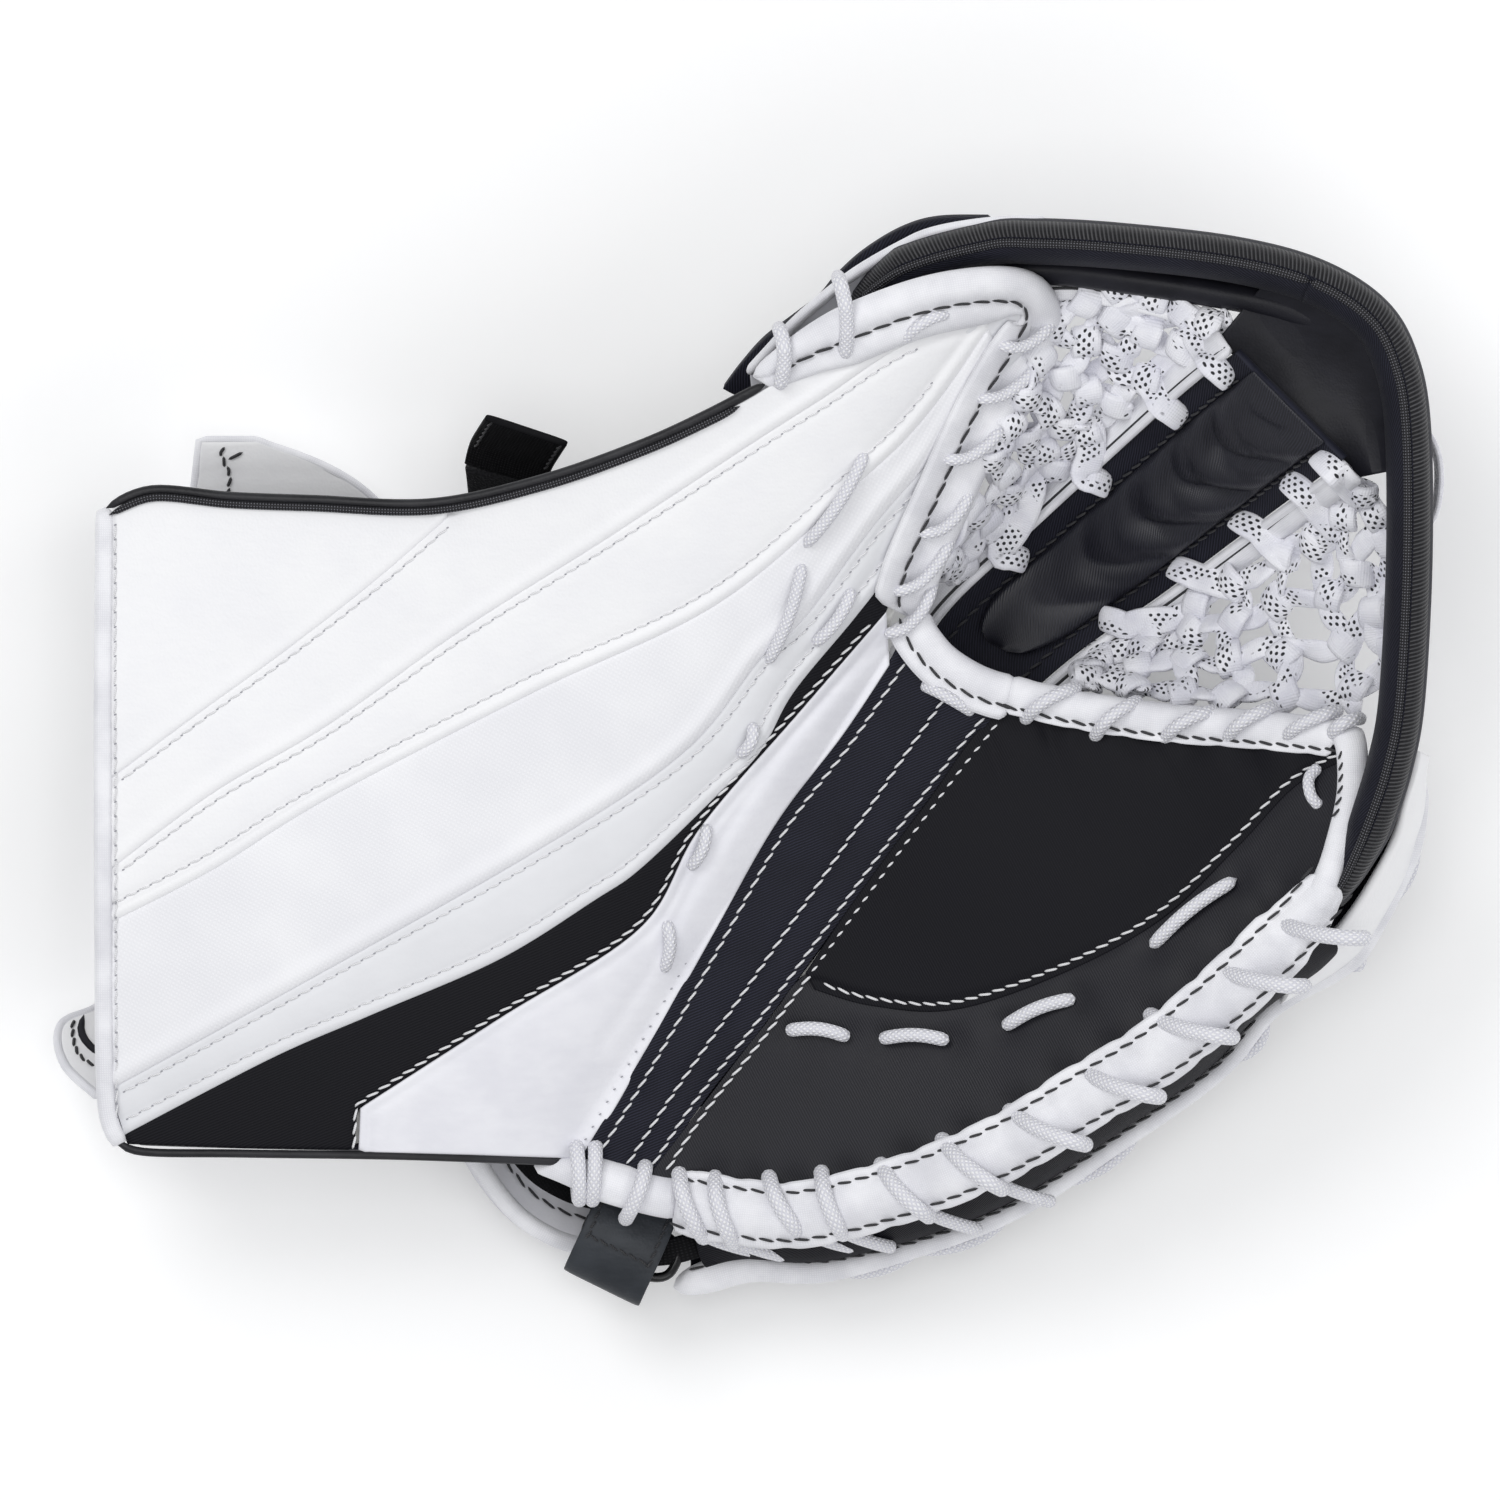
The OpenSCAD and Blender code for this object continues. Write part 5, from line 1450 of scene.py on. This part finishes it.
def inside_wall():
    """The wall inside the pocket, down from the palm's upper edge."""
    n = 60
    a = curve([[86, 11.5, 61], [108, 7, 64], [140, 3, 74], [163, 1, 84], [175, -1, 88]], n)
    b = curve([[86, 6, 12.3], [110, 4, 12.3], [140, 0, 20], [162, -2, 44], [175, -4, 58]], n)
    v = np.linspace(0, 1, 17)[:, None]
    middle = a[:, None] + (b - a)[:, None] * v
    front = middle + [0, 1.2, 0] * np.sin(math.pi * v)
    back = (middle - [0, 4, 0])[:, ::-1]
    piece("pocket_wall", np.concatenate([front, back], 1), TWILL_UV, "finger_half")


def heel_wall():
    """The wall's black twill carried on across the heel, behind the strap tab."""
    top = curve([[-46, -115, 49], [-36, -120.5, 49], [-24, -125, 49], [-9, -129, 50]], 40)
    low = curve([[-44, -104, 9], [-32, -108, 9], [-20, -111, 8], [-6, -111, 8]], 40)
    rings = sheet_in_space(top, low, 14, bulge(1.5), 2.5)
    piece("heel_wall", rings, WALL, "finger_half")


def stall(name, path, a, b, body):
    """A cloth finger sleeve with rolled hems at both mouths."""
    path = spaced(path, 3)
    n = len(path)
    ripple = 1 + 0.02 * np.sin(np.arange(n) * 1.9) + 0.012 * np.sin(np.arange(n) * 4.1)
    hem = 1 + 0.05 * (np.exp(-(np.arange(n) / 1.0) ** 2) + np.exp(-((n - 1 - np.arange(n))
                                                                     / 1.0) ** 2))
    outer = swept(path, oval(a, b, 32), scale=ripple * hem)
    inner = swept(path, oval(a - 3.6, b - 3.6, 32), scale=ripple)[::-1]
    piece(name, skin(np.concatenate([outer, inner]), wrap_u=True), CLOTH, body)


def stalls():
    four = {
        "index_stall": [[22, -12, 34], [60, -14, 35], [100, -16, 41], [130, -18, 51],
                        [149, -20, 62]],
        "middle_stall": [[20, -39, 34], [60, -41, 35], [100, -43, 40], [126, -43, 48],
                         [142, -43, 57]],
        "ring_stall": [[18, -66, 32], [50, -68, 32], [85, -69, 36], [108, -68, 42]],
        "little_stall": [[14, -92, 30], [40, -94, 30], [66, -94, 32], [82, -92, 36]],
    }
    for name, path in four.items():
        wide = 22 if name == "little_stall" else 24
        stall(name, path, wide, wide - 4, "finger_half")
    stall("thumb_stall", lay(thumb_z, [[2, 56], [25, 78], [46, 97], [63, 112]], -34), 28, 24,
          "thumb_half")


def plump(pad, voxel=4e-3, pressure=4.0, cap=5e-3):
    """Blows a pad up by cloth simulation, keeps the shape and smooths it once."""
    remesh = pad.modifiers.new("remesh", "REMESH")
    remesh.mode = "VOXEL"
    remesh.voxel_size = voxel
    pad.data = evaluated_mesh(pad)
    pad.modifiers.clear()
    rest = coordinates(pad.data)
    settings = pad.modifiers.new("cloth", "CLOTH").settings
    settings.use_pressure = True
    settings.uniform_pressure_force = pressure
    settings.effector_weights.gravity = 0
    for frame_number in range(1, 21):
        bpy.context.scene.frame_set(frame_number)
    move = coordinates(evaluated_mesh(pad)) - rest
    pad.modifiers.clear()
    bpy.context.scene.frame_set(1)
    reach = np.maximum(np.linalg.norm(move, axis=1, keepdims=True), 1e-9)
    placed = rest + move * np.minimum(1, cap / reach)
    placed[:, 2] = np.maximum(placed[:, 2], 2e-5)
    pad.data.vertices.foreach_set("co", placed.astype(np.float32).ravel())
    pad.modifiers.new("smooth", "SUBSURF").levels = 1
    pad.data = evaluated_mesh(pad)
    pad.modifiers.clear()
    pad.data.polygons.foreach_set("use_smooth", np.ones(len(pad.data.polygons), bool))


def coordinates(mesh):
    points = np.empty(len(mesh.vertices) * 3, np.float32)
    mesh.vertices.foreach_get("co", points)
    return points.reshape(-1, 3).astype(float)


def evaluated_mesh(thing):
    view = bpy.context.evaluated_depsgraph_get()
    view.update()
    return bpy.data.meshes.new_from_object(thing.evaluated_get(view), depsgraph=view)


def sew(pad, pitch, depth, width):
    """Presses the quilting seams into a pad's upper face, one every pitch along X."""
    points = coordinates(pad.data)
    seam = points[:, 0] - np.round(points[:, 0] / pitch) * pitch
    upper = smooth((points[:, 2] - 4e-3) / 2e-3)
    points[:, 2] -= depth * upper * np.exp(-(seam / width) ** 2)
    pad.data.vertices.foreach_set("co", points.astype(np.float32).ravel())


def back_of_hand():
    """The pad on the back of the hand, blown up as cloth and then sewn into channels."""
    n = 80
    a = curve([[-42, -96], [-15, -106], [30, -102], [66, -88], [104, -64], [126, -45]], n)
    b = curve([[-42, 10], [-5, 12], [30, 8], [66, 2], [104, -4], [126, -10]], n)

    rings = sheet_between(a, b, 40, lambda p: 10.5 + 0 * p[..., 0], 8.4, 4.0)
    rings[..., 2] = np.where(rings[..., 2] < 3, 0.05, rings[..., 2])
    pad = piece("hand_back_pad", rings, CLOTH, "finger_half")
    plump(pad)
    sew(pad, 28e-3, 2.5e-3, 2e-3)


GUARD_LEFT = [[-163, 98], [-168, 66], [-184, 8], [-188, -50], [-192, -71], [-205, -78.5],
              [-204, -90], [-194, -99.5]]
GUARD_RIGHT = [[-146, 98], [-110, 79.5], [-74, 24], [-72, -40], [-73, -62], [-76, -76],
               [-82, -89], [-92, -98]]
GUARD_SEAMS = [[[-155.9, 96.3], [-156.7, 94.5], [-155.8, 91.3], [-154.3, 84.7], [-161, 62],
                [-175, 8], [-179, -45]],
               [[-201.4, -77], [-201.6, -81], [-199.6, -87.2], [-193, -91], [-176, -92.5],
                [-140, -92], [-104, -91], [-89, -84], [-81, -60], [-80, -20], [-82, 22],
                [-96, 60]],
               [[-154.4, 91.8], [-150.2, 94.9]]]
GUARD_CORD = [[-198.3, -75.5], [-199.1, -79.8], [-197.2, -83.8], [-192, -87.2], [-176, -89],
              [-140, -88.5]]


def guard_z(p):
    """The guard curls up to both sides, less steeply at its top edge."""
    y = p[..., 1]
    past = np.clip(y - 70, 0, 30)
    curl = 0.0000419 * np.minimum(np.abs(y), np.where(y > 0, 70, 200)) ** 3
    return curl + (0.6 * past - 0.008 * past ** 2)


def wrist_guard():
    """The guard's shell, foam, lining, inner cloth, cord, binding and thread."""
    a, b = curve(GUARD_LEFT, 110), curve(GUARD_RIGHT, 110)
    shell = sheet_between(a, b, 40, lambda p: guard_z(p) + 3, 3, 1.0)
    piece("wrist_guard_shell", shell, WHITE, "thumb_half")
    core = sheet_between(mix(a, b, 0.01), mix(b, a, 0.01), 40, lambda p: guard_z(p) + 10.3, 7,
                         3.2)
    pad = piece("wrist_guard_foam", core, WHITE_STRIP, "thumb_half")

    def lining_top(p):
        return guard_z(p) + 12.6 + 0.5 * np.abs(np.sin(p[..., 1] / 22 * math.pi)) ** 0.4
    lining = sheet_between(mix(a, b, 0.005), mix(b, a, 0.005), 60, lining_top, 2.2, 1.2)
    piece("wrist_guard_lining", lining, WHITE, "thumb_half")
    inner = slice(16, 92)
    cloth_in = sheet_between(mix(a, b, 0.16)[inner], mix(b, a, 0.12)[inner], 50,
                             lambda p: lining_top(p) + 0.5, 0.6, 0.2)
    piece("guard_cloth", cloth_in, CLOTH, "thumb_half")
    cord = spaced(GUARD_CORD, 2)
    piece("guard_cord", rod(lay(lining_top, cord, 0.3), 2.4, 1.4), BLACK, "thumb_half")
    edge = np.concatenate([a, b[::-1]])
    edge = even(np.concatenate([edge, edge[:1]]), 320)[:-1]
    loop = lay(guard_z, edge, 11.3)
    piece("guard_binding", skin(swept(loop, oval(3.0, 3.4, 12)), wrap_u=True), TAPE, "thumb_half")
    rows = []
    for seam in GUARD_SEAMS:
        rows += stitches(lay(lining_top, spaced(seam, 2), 0.3), pitch=3.4, fill=0.92, thick=1.1)
    piece("guard_stitches", rows, BLACK_THREAD, "thumb_half")


END_FACING = (0.96, -0.28, 0)  # across the strap's free end


def straps():
    """The wrist strap, and its free end with two rows of thread."""
    path = spaced([[-69, 20, 15.6], [-69, 45, 19.2], [-69, 64, 28], [-69, 77, 38.5],
                   [-70.1, 88.3, 52.2]], 2.5)
    flat = oval(2.2, 26, 24, 0.35)
    turn = smooth(lengths(path) / lengths(path)[-1])[:, None]
    facing = mix(np.array([1, 0, 0.0]), np.array(END_FACING), turn)
    piece("wrist_strap", swept(path, flat, up=facing), HOOKS, "thumb_half")
    path = spaced([[-70.4, 88.0, 51.8], [-69, 93, 60], [-66.5, 97, 72], [-64, 100.5, 84]], 1.5)
    piece("wrist_strap_end", swept(path, flat, up=END_FACING), WEBBING, "strap_end")
    parts = []
    s, u = side_frame(path, END_FACING)
    for v in (-11, 11):
        parts += stitches((path + u * v - s * 1.1)[7:], pitch=4, up=-s.mean(0), thick=0.7)
    piece("strap_end_stitches", parts, BLACK_THREAD, "strap_end")


def heel_flap():
    """The white-edged flap at the heel, cloth inside."""
    a = curve([[-82, -114, 38], [-76, -125, 36], [-67, -136, 34], [-56, -143, 32],
               [-46, -146, 30]], 50)
    b = curve([[-64, -98, 14], [-58, -101, 13.5], [-52, -104, 13], [-47, -106, 12.5],
               [-42, -107, 12]], 50)
    rings = sheet_in_space(a, b, 24, lambda u, v: 0.6 * np.sin(math.pi * v) + 0.2 *
                           np.sin(11 * u), 5.4, 3)
    shell = skin(rings)
    middle = np.array([shell[0][face].mean(0) for face in shell[1]])
    far = np.linalg.norm(middle[:, None] - a[None], axis=2).min(1) > 13
    flap = piece("heel_flap", shell, [WHITE_STRIP, CLOTH], "finger_half", faces_in=far.astype(int))
    piece("heel_flap_binding", rod(a + [0, 0, -2.4], 5.6, 7.0, 16), TAPE, "finger_half")
    inward = unit(b - a)
    rows = stitches(a + inward * 9.5 + [0, 0, 1.0], pitch=5.4, fill=0.96, thick=0.95)
    piece("heel_flap_stitches", rows, BLACK_THREAD, "finger_half")


ACROSS_TAB = np.array([0.897, -0.442, 0])


def strap_tab():
    """The leather loop that holds the ring, with four rows of thread."""
    across = ACROSS_TAB
    path = spaced([[-30, -131, 44], [-35, -143, 47.5], [-39.5, -152.6, 45.5],
                   [-41.5, -157.1, 40.5], [-40, -153.6, 35], [-36, -145, 33],
                   [-32, -136, 33]], 1.2)
    piece("strap_tab", swept(path, oval(2.2, 25.4, 28, 0.3), up=across), GREY, "finger_half")
    up = unit(np.cross(across, tangents(path)))
    up = up * np.sign(up[8, 2])
    rows = []
    for side in (-10.2, 10.2):
        rows += stitches((path + across * side + up * 1.25)[:16], up=up.mean(0), pitch=2.9,
                         thick=0.7)
    for k in (1, 14):
        line = path[k] + across * np.linspace(-9.8, 9.8, 30)[:, None] + up[k] * 1.3
        rows += stitches(line, up=up[k], pitch=2.9, thick=0.7)
    piece("tab_stitches", rows, BLACK_THREAD, "finger_half")


def strap_ring():
    """The wire ring, a rounded rectangle, and the elastic beside it."""
    down = np.array([0.432, 0.877, -0.21])
    hinge = np.array([-35.8, -151.2, 40.3])
    q = np.linspace(0, 2 * math.pi, 73)[:-1]
    ring = (hinge + ACROSS_TAB * np.outer(np.sign(np.cos(q)) * np.abs(np.cos(q)) ** 0.7, [14.5])
            + down * (7.5 + 7.5 * np.sign(np.sin(q)) * np.abs(np.sin(q)) ** 0.7)[:, None])
    closed = np.concatenate([ring[-1:], ring, ring[:1]])
    rings = swept(closed, oval(3, 3, 14))[1:-1]
    piece("strap_ring", skin(rings, wrap_u=True), WIRE, "ring")
    path = spaced([[-27, -147.5, 39], [-19, -146.5, 38.5], [-10, -143.5, 38], [-2, -138, 36],
                   [3, -131, 34]], 1.2)
    piece("ring_elastic", swept(path, oval(8.2, 2.2, 16, 0.4)), WEBBING, "finger_half")


# ---- CAD nodes that stay: the layers inside the boards ----
def inner_layers():
    """Gives the six hidden layers their finish. Their CAD shapes are kept."""
    finishes = {"cuff_foam": FOAM, "gusset_foam": FOAM, "palm_foam": FOAM,
                "cuff_plate": PLASTIC, "cuff_lining": CLOTH, "palm_lining": CLOTH}
    for name, material in finishes.items():
        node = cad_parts[name]
        if not node.material_slots:
            node.data.materials.append(material)
        for each in node.material_slots:
            each.link = "OBJECT"
            each.material = material


# ---- studio ----
def studio():
    """A pale floor, a soft sky and four area lamps."""
    scene = bpy.context.scene
    scene.view_settings.view_transform = "Standard"
    world = bpy.data.worlds.new("studio")
    scene.world = world
    world.use_nodes = True
    sky = world.node_tree.nodes["Background"]
    sky.inputs["Color"].default_value = (0.97, 0.98, 1.0, 1)
    sky.inputs["Strength"].default_value = 0.50
    half = 4.0
    floor = bpy.data.meshes.new("floor")
    floor.from_pydata([(-half, -half, 0), (half, -half, 0), (half, half, 0), (-half, half, 0)],
                      [], [(0, 1, 2, 3)])
    s = Shader("pale_floor", Roughness=0.7, Emission_Color=(1, 1, 1, 1), Emission_Strength=0.12)
    floor.materials.append(s.finish(s.tint(s.noise(0.3, 2.0), (0.96, 0.96, 0.96),
                                           (0.98, 0.98, 0.98)), s.noise(0.02), 0.02e-3))
    ground = bpy.data.objects.new("floor", floor)
    scene.collection.objects.link(ground)
    lamps = (("key", (-0.8, 0.8, 1.9), 0.9, 12.0), ("fill", (0.7, -0.9, 1.7), 1.2, 6.5),
             ("top", (-0.1, 0.0, 2.6), 0.9, 10.5), ("side", (1.3, 0.9, 0.9), 0.5, 3.5))
    for name, place, size, power in lamps:
        data = bpy.data.lights.new(name, "AREA")
        data.size = size
        data.energy = power
        lamp = bpy.data.objects.new(name, data)
        lamp.location = place
        aim = -np.asarray(place) + [0, 0, 0.05]
        pitch = math.atan2(math.hypot(aim[0], aim[1]), -aim[2])
        lamp.rotation_euler = (pitch, 0, math.atan2(-aim[0], aim[1]))
        scene.collection.objects.link(lamp)


# ---- everything, in the order of its making ----
BUILDS = (
    cuff_bands, cuff_sides, cuff_edges, thumb_edge, thumb_lacing, gusset, gusset_ends, t_strap,
    corner, perimeter_bar, bar_tip, bar_inside, webs, palm, palm_edges, edge_laces, finger_wall,
    back_board, back_edge, inside_wall, heel_wall, stalls, back_of_hand, wrist_guard, straps,
    heel_flap, strap_tab, strap_ring, inner_layers, studio,
)
for build in BUILDS:
    build()
